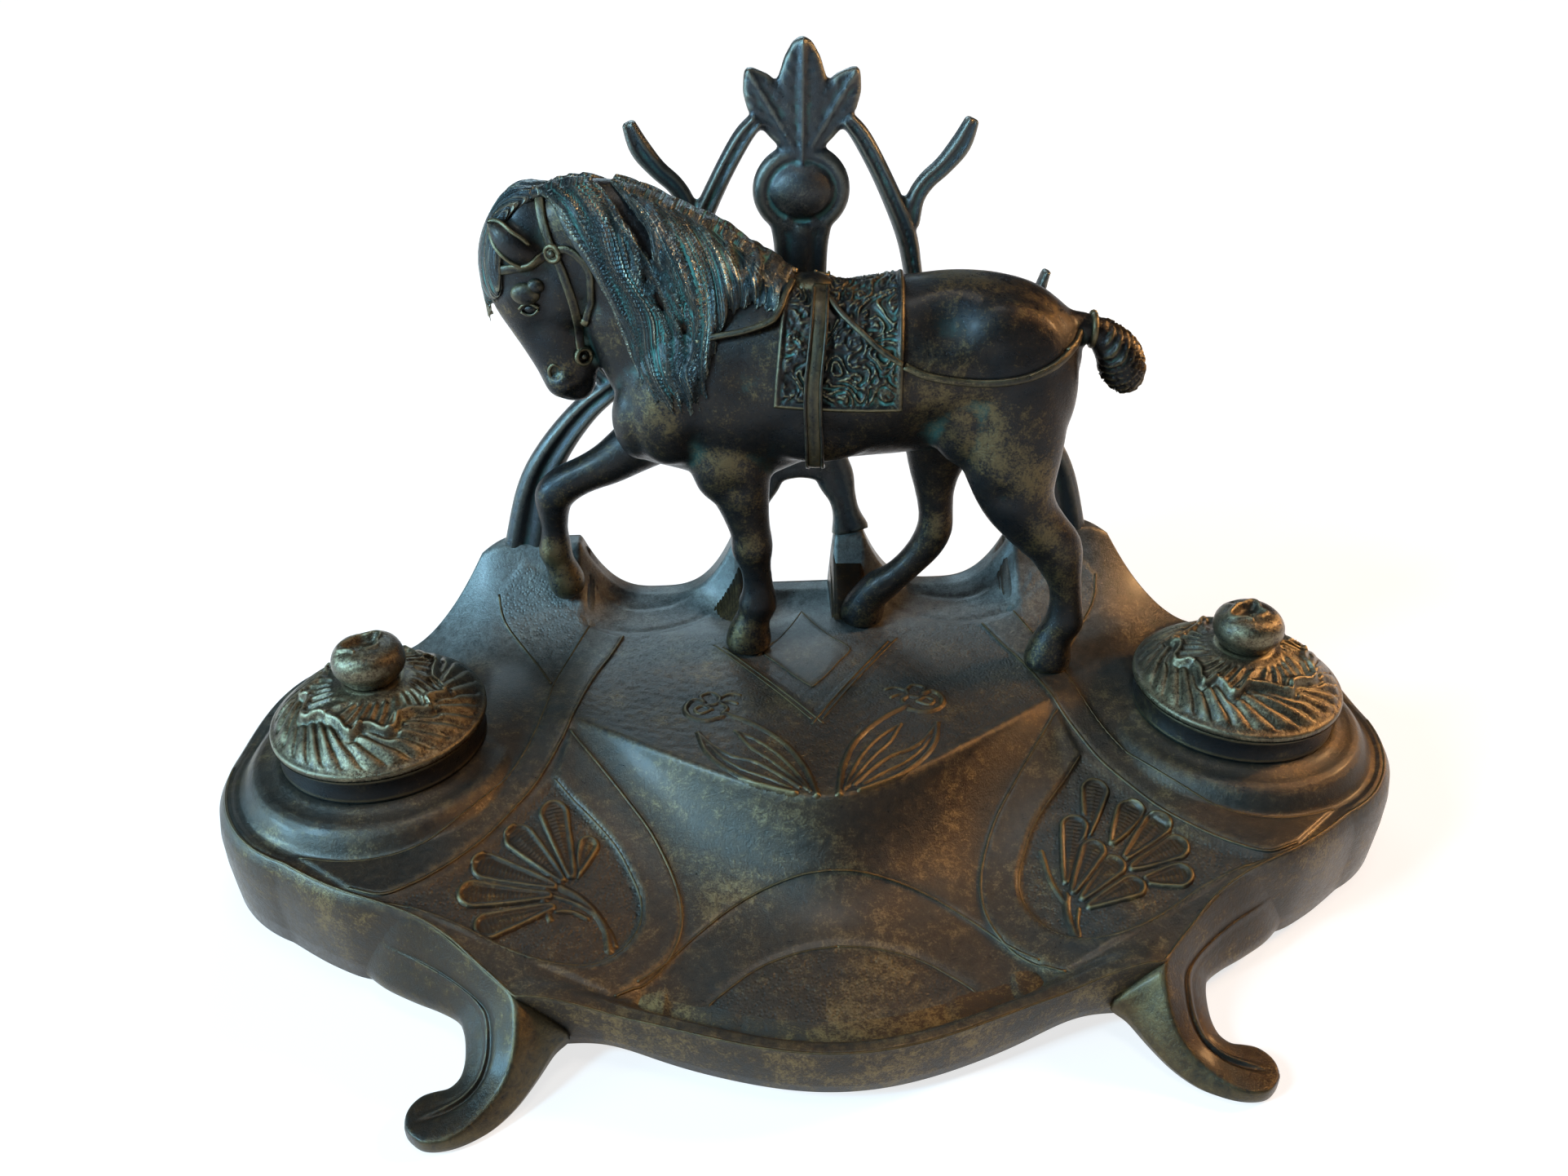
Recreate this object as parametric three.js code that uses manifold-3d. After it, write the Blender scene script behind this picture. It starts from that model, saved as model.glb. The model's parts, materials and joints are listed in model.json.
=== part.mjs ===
import * as THREE from 'three';
import { mergeVertices } from 'three/addons/utils/BufferGeometryUtils.js';
import Module from 'manifold-3d';

// Cast metal desk inkstand: a hollow base with two ink wells and a pen tray, a draught horse on its deck
// and a pierced gallery along the back edge. Lengths are millimetres, +Z is up, the wells lie on the X axis
// of the base, and the viewer's side is -Y.

const wasm = await Module();
wasm.setup();

// Fits shared by all pieces
const SEAT_GAP = 0.3;
const CUT_OVERRUN = 3;
const HOLE_CLEARANCE = 0.3;

// Base casting, in plan
const HALF_WIDTH = 172;
const SHOULDER_RADIUS = 45.5;
const BACK_EDGE = 73;
const STUB_END = 98;
const FRONT_REACH = 99;
const CORNER_ACROSS = 81;
const CORNER_FORWARD = 81;
const FOOT_ROOT_ACROSS = 105;
const FOOT_ROOT_FORWARD = 69;

// Base casting, in height
const DECK_HEIGHT = 44;
const WALL = 3.2;
const SHOULDER_LIP_HEIGHT = 33;
const CORNER_HEIGHT = 24;
const FRONT_LIP_HEIGHT = 19;
const TRAY_FLOOR = 13.5;
const SKIRT_BOTTOM = 4.5;
const SKIRT_FLARE = 4;
const SKIRT_LIFT = 6;
const STUB_RISE = 24;
const SCOOP_RISE = 3;
const BACK_FOOT_WIDTH = 26;

// Ridge between the deck and the pen tray
const RIDGE_FORWARD = 36;
const RIDGE_END_ACROSS = 71;
const RIDGE_END_BACK = 3.5;
const RIDGE_ROUNDING = 18;

// Scroll feet
const FOOT_REACH = 106.5;
const FOOT_PAD_ACROSS = 100;
const FOOT_PAD_RADIUS = 7.5;
const FOOT_PAD_THICKNESS = 4.5;
const FOOT_WIDTH = 15;

// Back gallery
const GALLERY_THICKNESS = 6;
const GALLERY_HEIGHT = 222;
const ARCH_HALF_WIDTH = 11;
const ARCH_RISE = 19;
const PILLAR_FOOT = 24;
const LEG_WIDTH = 14;
const BOSS_RADIUS = 10;
const MEDALLION_RADIUS = 15;
const MEDALLION_DROP = 44;
const TONGUE_WIDTH = 9;
const TONGUE_DROP = 15;
const TONGUE_THICKNESS = 2.4;
const GALLERY_SCREW_RADIUS = 1.6;
const GALLERY_SCREW_HEAD_RADIUS = 3;
const GALLERY_SCREW_HEAD_HEIGHT = 2;
const GALLERY_SCREW_LENGTH = 6;
const TONGUE_SCREW_DROP = 9;

// Wells, liners and lids
const WELL_BORE = 27;
const COLLAR_RADIUS = 29;
const COLLAR_BORE = 24;
const COLLAR_HEIGHT = 8;
const COLLAR_SPIGOT = 6;
const SEAT_DROP = 2;
const LINER_WALL = 2.5;
const LINER_DEPTH = 34;
const LINER_FLANGE = 26;
const LINER_FLANGE_THICKNESS = 2;
const LINER_SIDE_CLEARANCE = 0.6;
const LID_RADIUS = 30;
const LID_RISE = 14;
const LID_WALL = 1.8;
const LID_RIM_HEIGHT = 2.6;
const LID_NECK_RADIUS = 8;
const KNOB_RADIUS = 10;
const KNOB_HEIGHT = 11.5;
const KNOB_SCREW_RADIUS = 2;
const KNOB_SCREW_HEAD_RADIUS = 4;
const KNOB_SCREW_HEAD_HEIGHT = 2;
const KNOB_SCREW_LENGTH = 7;
const TURNED_SIDES = 32;
const SMALL_SIDES = 12;
const NUT_SIDES = 6;

// Horse: its place along the deck, its turn, and what fastens it
const HORSE_ACROSS = 12;
const HORSE_TURN = THREE.MathUtils.degToRad(-7);
const STUD_RADIUS = 2.2;
const STUD_IN_HOOF = 9;
const NUT_RADIUS = 4.6;
const NUT_HEIGHT = 3.2;
const STUD_BELOW_NUT = 1.5;
const PIN_RADIUS = 1.8;
const TAIL_TENON_RADIUS = 2.4;
const TAIL_TENON_LENGTH = 6;

const WELD_SHARE = 0.001;
const WELL_ACROSS = HALF_WIDTH - SHOULDER_RADIUS;
const STUB_TOP = DECK_HEIGHT + STUB_RISE;
const SCOOP_HEIGHT = DECK_HEIGHT + SCOOP_RISE;
const ARCH_TOP = STUB_TOP + ARCH_RISE;
const SEAT_HEIGHT = DECK_HEIGHT - SEAT_DROP;
const GALLERY_FRONT = BACK_EDGE - GALLERY_THICKNESS;
const COLLAR_TOP = SEAT_HEIGHT + COLLAR_HEIGHT;
const TONGUE_BACK = BACK_EDGE + SEAT_GAP + TONGUE_THICKNESS;
const BACK_REACH = TONGUE_BACK + SEAT_GAP + GALLERY_SCREW_HEAD_HEIGHT;
const MEDALLION_HEIGHT = GALLERY_HEIGHT - MEDALLION_DROP;

// Materials
const bronze = () => new THREE.MeshStandardMaterial({ color: 0x2b2622, roughness: 0.42, metalness: 0.9 });
const paleBronze = () => new THREE.MeshStandardMaterial({ color: 0x4a3d2a, roughness: 0.38, metalness: 0.9 });
const brass = () => new THREE.MeshStandardMaterial({ color: 0x8c6d36, roughness: 0.4, metalness: 0.9 });
const steel = () => new THREE.MeshStandardMaterial({ color: 0x6d6d6d, roughness: 0.45, metalness: 0.9 });
const glaze = () => new THREE.MeshStandardMaterial({ color: 0xe8e6de, roughness: 0.15, metalness: 0 });

// Solid helpers
function toSolid(geometry) {
  const bare = geometry.clone();
  bare.deleteAttribute('normal');
  bare.deleteAttribute('uv');
  const merged = mergeVertices(bare, SEAT_GAP * WELD_SHARE);
  return new wasm.Manifold(new wasm.Mesh({
    numProp: 3,
    vertProperties: new Float32Array(merged.attributes.position.array),
    triVerts: new Uint32Array(merged.index.array),
  }));
}

function toGeometry(solid) {
  const mesh = solid.getMesh();
  const geometry = new THREE.BufferGeometry();
  geometry.setAttribute('position', new THREE.BufferAttribute(new Float32Array(mesh.vertProperties), 3));
  geometry.setIndex(new THREE.BufferAttribute(new Uint32Array(mesh.triVerts), 1));
  geometry.computeVertexNormals();
  return geometry;
}

function unite(solids) {
  return solids.reduce((sum, solid) => sum.add(solid));
}

function turned(profile, sides = TURNED_SIDES) {
  const points = profile.map(([radius, height]) => new THREE.Vector2(radius, height));
  return new THREE.LatheGeometry(points, sides).rotateX(Math.PI / 2);
}

function rod(radius, bottom, top, sides = SMALL_SIDES) {
  return turned([[0, bottom], [radius, bottom], [radius, top], [0, top]], sides);
}

function nodeOf(name, geometry, material) {
  const mesh = new THREE.Mesh(geometry, material);
  mesh.name = name;
  return mesh;
}

function smooth(from, to, value) {
  return THREE.MathUtils.smoothstep(value, Math.min(from, to), Math.max(from, to));
}

function mix(a, b, share) {
  return a + (b - a) * share;
}

// Pen tray: how much of its fall is an even slope, how sharply the rest curves in the middle and at the ends,
// where its rim starts to rise to the corners, and how long the rim holds that rise inward
const TRAY_SLOPE_SHARE = 0.28;
const TRAY_CURVE_SHARES = [6, 3];
const TRAY_CORNER_SHARE = 0.35;
const TRAY_RIM_SHARE = 4;

// Rear edge: the deck sweeps up from these shares of its depth to the stubs and the low scoops between them
const SWEEP_START_SHARES = [0.79, 0.5];
const SWEEP_CURVE_SHARE = 2.2;
const PILLAR_STUB_SHARE = 1.4;
const ARCH_SIDE_SHARE = 1.05;
const STUB_RISE_SHARES = [2.4, 1.3];
const STUB_FALL_SHARE = 1.6;

// Shoulders: the flat by the collar, and the turn over which the roll fades toward the back
const SHOULDER_FLAT_SHARE = 1.1;
const SHOULDER_FADE_SHARES = [0.1, 0.8];

// Ridge: the shares of the wall over which the deck turns down into the tray, ahead of its line and behind it
const RIDGE_TURN_SHARES = [0.69, 0.44];

// Height of the base's upper face at a point of the plan
function ridgeLine(across) {
  const rounded = (value) => Math.hypot(value, RIDGE_ROUNDING) - RIDGE_ROUNDING;
  const share = rounded(Math.min(across, RIDGE_END_ACROSS)) / rounded(RIDGE_END_ACROSS);
  return mix(-RIDGE_FORWARD, RIDGE_END_BACK, share);
}

function frontLine(across) {
  const share = Math.cos(Math.PI / 2 * Math.min(across / CORNER_ACROSS, 1)) ** 2;
  return -mix(CORNER_FORWARD, FRONT_REACH, share);
}

function trayHeight(across, y) {
  const ridge = ridgeLine(across);
  const share = THREE.MathUtils.clamp((ridge - y) / (ridge - frontLine(across)), 0, 1);
  const fall = DECK_HEIGHT - TRAY_FLOOR;
  const steepShare = mix(...TRAY_CURVE_SHARES, smooth(0, RIDGE_END_ACROSS, across));
  const bowl = TRAY_FLOOR + fall * mix((1 - share) ** steepShare, 1 - share, TRAY_SLOPE_SHARE);
  const cornerStart = CORNER_ACROSS * TRAY_CORNER_SHARE;
  const corner = (CORNER_HEIGHT - TRAY_FLOOR) * smooth(cornerStart, CORNER_ACROSS, across);
  const flank = (SHOULDER_LIP_HEIGHT - CORNER_HEIGHT) * smooth(CORNER_ACROSS, WELL_ACROSS, across);
  return bowl + (corner + flank) * (1 - (1 - share) ** TRAY_RIM_SHARE);
}

function rearTop(across) {
  const rise = STUB_TOP - SCOOP_HEIGHT;
  const middle = 1 - smooth(PILLAR_FOOT, PILLAR_FOOT * PILLAR_STUB_SHARE, across);
  const arch = 1 - smooth(ARCH_HALF_WIDTH, ARCH_HALF_WIDTH * ARCH_SIDE_SHARE, across);
  const [riseStart, riseEnd] = STUB_RISE_SHARES.map((share) => STUB_END - LEG_WIDTH * share);
  const inner = smooth(riseStart, riseEnd, across);
  const outer = (1 - smooth(STUB_END, STUB_END + SHOULDER_RADIUS, across)) ** STUB_FALL_SHARE;
  return SCOOP_HEIGHT + rise * Math.max(middle - arch, inner * outer);
}

function deckHeight(across, y) {
  const outside = smooth(STUB_END - LEG_WIDTH, STUB_END + LEG_WIDTH, across);
  const sweepStart = BACK_EDGE * mix(...SWEEP_START_SHARES, outside);
  const rise = THREE.MathUtils.clamp((y - sweepStart) / (GALLERY_FRONT - sweepStart), 0, 1);
  return DECK_HEIGHT + (rearTop(across) - DECK_HEIGHT) * rise ** SWEEP_CURVE_SHARE;
}

// Outside the wells the field falls away, so that the shoulder's mound alone shapes the end of the base
function endFall(across, y) {
  const ridge = ridgeLine(across);
  const ahead = THREE.MathUtils.clamp((ridge - y) / (ridge - frontLine(across)), 0, 1);
  const behind = THREE.MathUtils.clamp(y / BACK_EDGE, 0, 1);
  const deepest = (DECK_HEIGHT - CORNER_HEIGHT) * smooth(STUB_END, WELL_ACROSS, across);
  return deepest * ((1 - ahead) * (1 - behind)) ** 2;
}

function shoulderHeight(across, y) {
  const radius = Math.hypot(across - WELL_ACROSS, y);
  const roll = smooth(LID_RADIUS * SHOULDER_FLAT_SHARE, SHOULDER_RADIUS, radius);
  const facingBack = smooth(...SHOULDER_FADE_SHARES, y / Math.max(radius, SEAT_GAP));
  const beyond = Math.max(radius - SHOULDER_RADIUS, 0);
  const mound = SEAT_HEIGHT - (SEAT_HEIGHT - SHOULDER_LIP_HEIGHT) * roll * (1 - facingBack);
  return mound - beyond;
}

function topHeight(x, y) {
  const across = Math.abs(x);
  const [before, behind] = RIDGE_TURN_SHARES;
  const ahead = smooth(ridgeLine(across) - WALL * before, ridgeLine(across) + WALL * behind, y);
  const field = mix(trayHeight(across, y), deckHeight(across, y), ahead);
  return Math.max(field - endFall(across, y), shoulderHeight(across, y));
}

// Outline: the part of a half turn that the skirt goes round the well, to the front and to the back, where it
// leaves the foot, how it sweeps to the stub, and the steps across the scoop
const SKIRT_TURN_SHARES = [-0.36, 0.46];
const SKIRT_START_SHARES = [0.5, 0.6];
const STUB_SWEEP_SHARE = 1.25;
const STUB_INNER_SHARE = 1.2;
const SCOOP_STEP_SHARES = [0.2, 0.4, 0.65, 0.87, 1];
const FOOT_SPREAD_SHARE = 1.5;
const SKIRT_BULGE_SHARE = 0.35;

// Rings of the shell, as shares of the way out to the ridge's upper edge and then from its lower edge to the
// outline, with the shares at which the ridge is taken to lie where a ray doesn't cross it
const DECK_RING_SHARES = [0.4, 0.78, 1];
const TRAY_RING_SHARES = [0, 0.06, 0.15, 0.26, 0.38, 0.52, 0.66, 0.79, 0.88, 0.94];
const NO_RIDGE_SHARES = [0.36, 0.4];
const RIDGE_SPAN_SHARE = 0.02;

// Half outline of the base in plan, from the middle of the front lip round to the middle of the back edge
function halfOutline() {
  const points = [];
  const lipSteps = 8;
  for (let i = 0; i < lipSteps; i += 1) {
    const across = CORNER_ACROSS * i / lipSteps;
    points.push([across, frontLine(across)]);
  }
  points.push([CORNER_ACROSS, -CORNER_FORWARD]);
  points.push([(CORNER_ACROSS + FOOT_ROOT_ACROSS) / 2, -(CORNER_FORWARD + FOOT_ROOT_FORWARD) / 2]);
  points.push([FOOT_ROOT_ACROSS, -FOOT_ROOT_FORWARD]);
  const [turnStart, turnEnd] = SKIRT_TURN_SHARES.map((share) => Math.PI * share);
  const skirt = [WELL_ACROSS + SHOULDER_RADIUS * Math.cos(turnStart), SHOULDER_RADIUS * Math.sin(turnStart)];
  points.push([mix(FOOT_ROOT_ACROSS, skirt[0], SKIRT_START_SHARES[0]),
    mix(-FOOT_ROOT_FORWARD, skirt[1], SKIRT_START_SHARES[1])]);
  const arcSteps = 13;
  for (let i = 0; i <= arcSteps; i += 1) {
    const angle = mix(turnStart, turnEnd, i / arcSteps);
    points.push([WELL_ACROSS + SHOULDER_RADIUS * Math.cos(angle), SHOULDER_RADIUS * Math.sin(angle)]);
  }
  const sweepSteps = 5;
  for (let i = 1; i < sweepSteps; i += 1) {
    const share = i / sweepSteps;
    const across = mix(WELL_ACROSS, STUB_END, share ** STUB_SWEEP_SHARE);
    points.push([across, mix(SHOULDER_RADIUS, BACK_EDGE, share)]);
  }
  const stubInside = STUB_END - LEG_WIDTH * STUB_INNER_SHARE;
  const backPlaces = [STUB_END, STUB_END - LEG_WIDTH / 2, stubInside];
  SCOOP_STEP_SHARES.forEach((share) => backPlaces.push(mix(stubInside, PILLAR_FOOT, share)));
  backPlaces.push((ARCH_HALF_WIDTH + PILLAR_FOOT) / 2, ARCH_HALF_WIDTH * ARCH_SIDE_SHARE, ARCH_HALF_WIDTH, 0);
  return points.concat(backPlaces.map((across) => [across, BACK_EDGE]));
}

// Share of the way to an outline place at which its ray passes the ridge's line moved back by an offset
function ridgeCrossing(x, y, offset, fallback) {
  const steps = 60;
  const behind = (share) => y * share - ridgeLine(Math.abs(x * share)) - offset;
  for (let i = 1; i < steps; i += 1) {
    const [before, after] = [behind((i - 1) / steps), behind(i / steps)];
    if (after < 0) return (i - 1 + before / (before - after)) / steps;
  }
  return fallback;
}

function ringShares(x, y) {
  const [before, behind] = RIDGE_TURN_SHARES;
  const upper = ridgeCrossing(x, y, WALL * behind, NO_RIDGE_SHARES[0]);
  const lower = Math.max(ridgeCrossing(x, y, -WALL * before, NO_RIDGE_SHARES[1]), upper + RIDGE_SPAN_SHARE);
  return DECK_RING_SHARES.map((share) => upper * share).concat(TRAY_RING_SHARES.map((share) => mix(lower, 1, share)));
}

function skirtBottom(x, y) {
  const across = Math.abs(x);
  const fromStub = Math.hypot(across - STUB_END, y - BACK_EDGE);
  const fromFoot = Math.hypot(across - FOOT_ROOT_ACROSS, y + FOOT_ROOT_FORWARD);
  const lift = SKIRT_LIFT * (1 - smooth(0, FOOT_WIDTH * FOOT_SPREAD_SHARE, fromFoot));
  return SKIRT_BOTTOM * smooth(BACK_FOOT_WIDTH / 2, BACK_FOOT_WIDTH, fromStub) + lift;
}

function baseShell() {
  const half = halfOutline();
  const mirrored = half.slice(1, -1).reverse().map(([x, y]) => [-x, y]);
  const outline = half.concat(mirrored);
  const count = outline.length;
  const positions = [];
  const indices = [];
  const rings = [];
  const addRing = (place) => {
    rings.push(positions.length / 3);
    outline.forEach(([x, y]) => positions.push(...place(x, y)));
  };
  const inset = (x, y) => 1 - WALL / Math.hypot(x, y);
  const spread = (x) => SKIRT_FLARE * smooth(FOOT_ROOT_ACROSS, WELL_ACROSS, Math.abs(x));
  const flare = (x, y) => 1 + spread(x) / Math.hypot(x, y);
  const onFrontLip = (x, y) => y < 0 && Math.abs(x) < CORNER_ACROSS;
  const lip = (x, y) => Math.max(topHeight(x, y), onFrontLip(x, y) ? FRONT_LIP_HEIGHT : 0);
  positions.push(0, 0, topHeight(0, 0));
  const ringCount = DECK_RING_SHARES.length + TRAY_RING_SHARES.length;
  const ringAt = (x, y, ring) => ringShares(x, y)[ring];
  for (let ring = 0; ring < ringCount; ring += 1) {
    addRing((x, y) => {
      const share = ringAt(x, y, ring);
      return [x * share, y * share, topHeight(x * share, y * share)];
    });
  }
  addRing((x, y) => [x, y, lip(x, y)]);
  addRing((x, y) => [x * flare(x, y), y * flare(x, y), mix(skirtBottom(x, y), lip(x, y), SKIRT_BULGE_SHARE)]);
  addRing((x, y) => [x * flare(x, y), y * flare(x, y), skirtBottom(x, y)]);
  addRing((x, y) => [x * inset(x, y) * flare(x, y), y * inset(x, y) * flare(x, y), skirtBottom(x, y)]);
  for (let ring = ringCount - 1; ring >= 0; ring -= 1) {
    addRing((x, y) => {
      const held = Math.min(ringAt(x, y, ring), inset(x, y) * inset(x, y));
      return [x * held, y * held, topHeight(x * held, y * held) - WALL];
    });
  }
  const last = positions.length / 3;
  positions.push(0, 0, topHeight(0, 0) - WALL);
  for (let i = 0; i < count; i += 1) {
    const next = (i + 1) % count;
    indices.push(0, rings[0] + i, rings[0] + next);
    for (let r = 1; r < rings.length; r += 1) {
      const [a, b] = [rings[r - 1], rings[r]];
      indices.push(a + i, b + i, b + next);
      indices.push(a + i, b + next, a + next);
    }
    indices.push(last, rings[rings.length - 1] + next, rings[rings.length - 1] + i);
  }
  const geometry = new THREE.BufferGeometry();
  geometry.setAttribute('position', new THREE.Float32BufferAttribute(positions, 3));
  geometry.setIndex(indices);
  return geometry;
}

// A limb or bar lofted through elliptical stations [x, y, z, half depth, half width]: the depth lies across
// the path in the XZ plane, and the width lies along Y
function loftSolid(stations, sides) {
  const places = stations.map(([x, y, z]) => new THREE.Vector3(x, y, z));
  const positions = [];
  const indices = [];
  stations.forEach(([, , , depth, width], i) => {
    const ahead = places[Math.min(i + 1, places.length - 1)];
    const behind = places[Math.max(i - 1, 0)];
    const along = ahead.clone().sub(behind);
    along.y = 0;
    along.normalize();
    for (let k = 0; k < sides; k += 1) {
      const angle = k / sides * Math.PI * 2;
      positions.push(places[i].x - along.z * depth * Math.cos(angle));
      positions.push(places[i].y + width * Math.sin(angle));
      positions.push(places[i].z + along.x * depth * Math.cos(angle));
    }
  });
  const first = positions.length / 3;
  positions.push(...places[0].toArray(), ...places[places.length - 1].toArray());
  for (let i = 0; i < stations.length; i += 1) {
    for (let k = 0; k < sides; k += 1) {
      const next = (k + 1) % sides;
      const ring = i * sides;
      if (i === 0) indices.push(first, ring + k, ring + next);
      if (i === stations.length - 1) indices.push(first + 1, ring + next, ring + k);
      if (i > 0) indices.push(ring - sides + k, ring + next, ring - sides + next);
      if (i > 0) indices.push(ring - sides + k, ring + k, ring + next);
    }
  }
  const geometry = new THREE.BufferGeometry();
  geometry.setAttribute('position', new THREE.Float32BufferAttribute(positions, 3));
  geometry.setIndex(indices);
  return toSolid(geometry);
}

// Scroll foot: places between the root and the pad, with the heights of its upper and lower faces
const FOOT_ROOT = [(CORNER_ACROSS + FOOT_ROOT_ACROSS) / 2, (CORNER_FORWARD + FOOT_ROOT_FORWARD) / 2 - WALL];
const FOOT_PAD = [FOOT_PAD_ACROSS, FOOT_REACH - FOOT_PAD_RADIUS];
const FOOT_PLAN_SHARES = [[-0.2, 0], [-0.85, 0.3], [-0.9, 0.6], [-0.25, 0.87], [1, 1]];
const FOOT_TOP_SHARES = [1, 0.62, 0.3, 0.1, 0];
const FOOT_BOTTOM_SHARES = [1, 0.8, 0.3, 0, 0];
const FOOT_WIDTH_SHARES = [1, 0.9, 0.9, 0.95, 0.95];
const FOOT_SIDES = 4;

function scrollFoot(side) {
  const centres = FOOT_PLAN_SHARES.map(([u, v]) => new THREE.Vector2(
    side * mix(FOOT_ROOT[0], FOOT_PAD[0], u), -mix(FOOT_ROOT[1], FOOT_PAD[1], v)));
  const positions = [];
  const indices = [];
  centres.forEach((centre, i) => {
    const ahead = centres[Math.min(i + 1, centres.length - 1)];
    const behind = centres[Math.max(i - 1, 0)];
    const along = ahead.clone().sub(behind).normalize();
    const half = FOOT_WIDTH * FOOT_WIDTH_SHARES[i] / 2;
    const top = mix(FOOT_PAD_THICKNESS, CORNER_HEIGHT - SEAT_GAP, FOOT_TOP_SHARES[i]);
    const bottom = (SKIRT_BOTTOM + SKIRT_LIFT) * FOOT_BOTTOM_SHARES[i];
    [[-1, bottom], [1, bottom], [1, top], [-1, top]].forEach(([edge, height]) => {
      positions.push(centre.x - along.y * half * edge, centre.y + along.x * half * edge, height);
    });
  });
  const end = (centres.length - 1) * FOOT_SIDES;
  indices.push(0, 2, 1, 0, 3, 2, end, end + 1, end + 2, end, end + 2, end + 3);
  for (let i = 0; i < end; i += FOOT_SIDES) {
    for (let k = 0; k < FOOT_SIDES; k += 1) {
      const next = (k + 1) % FOOT_SIDES;
      indices.push(i + k, i + FOOT_SIDES + next, i + FOOT_SIDES + k);
      indices.push(i + k, i + next, i + FOOT_SIDES + next);
    }
  }
  const geometry = new THREE.BufferGeometry();
  geometry.setAttribute('position', new THREE.Float32BufferAttribute(positions, 3));
  geometry.setIndex(indices);
  const pad = rod(FOOT_PAD_RADIUS, 0, FOOT_PAD_THICKNESS, TURNED_SIDES / 2);
  pad.translate(side * FOOT_PAD[0], -FOOT_PAD[1], 0);
  return toSolid(geometry).add(toSolid(pad));
}

// Flat pieces of the gallery are drawn in the XZ plane and extruded forward from its back face
function plate(outline, thickness, front = GALLERY_FRONT) {
  const shape = new THREE.Shape(outline.map(([across, height]) => new THREE.Vector2(across, height)));
  const geometry = new THREE.ExtrudeGeometry(shape, { depth: thickness, bevelEnabled: false });
  geometry.rotateX(Math.PI / 2).translate(0, front + thickness, 0);
  return toSolid(geometry);
}

// A bar of changing width along a smooth line through the given places [across, height, half width]
function bar(places, thickness, steps) {
  const line = new THREE.CatmullRomCurve3(places.map(([x, z, half]) => new THREE.Vector3(x, z, half)));
  const left = [];
  const right = [];
  for (let i = 0; i <= steps; i += 1) {
    const here = line.getPoint(i / steps);
    const along = line.getTangent(i / steps);
    const length = Math.hypot(along.x, along.y);
    const out = [-along.y / length * here.z, along.x / length * here.z];
    left.push([here.x + out[0], here.y + out[1]]);
    right.unshift([here.x - out[0], here.y - out[1]]);
  }
  const front = GALLERY_FRONT + (GALLERY_THICKNESS - thickness) / 2;
  return plate(left.concat(right), thickness, front);
}

// Horse: its height at the withers keeps it clear of the wells, and its far hind hoof stands where the deck
// starts to sweep up. Every place is a share of that height, with its nose toward -X
const HORSE_SHARE = 0.9486;
const FAR_HOOF_SHARE = 0.1306;
const PIN_LENGTH_SHARE = 0.045;
const HORSE_HEIGHT = WELL_ACROSS * HORSE_SHARE;
const HORSE_BACK = BACK_EDGE * SWEEP_START_SHARES[0] - HORSE_HEIGHT * FAR_HOOF_SHARE;
const TRUNK_SHARES = [[-0.56, 0, 0.67, 0.07, 0.06], [-0.52, 0, 0.67, 0.15, 0.11],
  [-0.42, 0, 0.69, 0.21, 0.145], [-0.29, 0, 0.725, 0.25, 0.165], [-0.15, 0, 0.755, 0.237, 0.172],
  [0, 0, 0.76, 0.215, 0.18], [0.15, 0, 0.785, 0.22, 0.18], [0.28, 0, 0.815, 0.2, 0.175],
  [0.42, 0, 0.81, 0.155, 0.16], [0.5, 0, 0.81, 0.11, 0.125], [0.545, 0, 0.81, 0.06, 0.07]];
const NECK_SHARES = [[-0.3, 0, 0.76, 0.29, 0.14], [-0.4, 0, 0.86, 0.26, 0.13],
  [-0.49, 0, 0.975, 0.2, 0.115], [-0.595, 0, 1.06, 0.155, 0.1], [-0.69, 0, 1.075, 0.125, 0.085]];
const HEAD_SHARES = [[-0.71, 0, 1.165, 0.05, 0.05], [-0.727, 0, 1.125, 0.09, 0.07],
  [-0.735, 0, 1.06, 0.125, 0.08], [-0.736, 0, 0.97, 0.135, 0.08], [-0.723, 0, 0.88, 0.12, 0.07],
  [-0.705, 0, 0.81, 0.095, 0.055], [-0.69, 0, 0.74, 0.07, 0.05], [-0.678, 0, 0.695, 0.05, 0.04]];
const EAR_SHARES = [[-0.738, 0.045, 1.12, 0.035, 0.025], [-0.788, 0.05, 1.14, 0.03, 0.02],
  [-0.828, 0.055, 1.13, 0.012, 0.01]];
const NEAR_FORE_SHARES = [[-0.31, -0.06, 0.62, 0.12, 0.08], [-0.26, -0.064, 0.49, 0.075, 0.06],
  [-0.245, -0.066, 0.38, 0.055, 0.048], [-0.237, -0.066, 0.31, 0.05, 0.046],
  [-0.228, -0.066, 0.21, 0.04, 0.038], [-0.224, -0.066, 0.14, 0.05, 0.046],
  [-0.23, -0.066, 0.085, 0.043, 0.04], [-0.238, -0.066, 0.05, 0.055, 0.05],
  [-0.247, -0.066, -0.02, 0.065, 0.058]];
const NEAR_HIND_SHARES = [[0.38, -0.07, 0.75, 0.15, 0.09], [0.42, -0.095, 0.6, 0.115, 0.075],
  [0.465, -0.108, 0.5, 0.072, 0.058], [0.51, -0.108, 0.425, 0.055, 0.048],
  [0.54, -0.108, 0.375, 0.058, 0.046], [0.562, -0.108, 0.27, 0.04, 0.038],
  [0.58, -0.108, 0.14, 0.046, 0.044], [0.573, -0.108, 0.085, 0.042, 0.04],
  [0.56, -0.108, 0.05, 0.055, 0.05], [0.549, -0.108, -0.02, 0.065, 0.058]];
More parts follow.
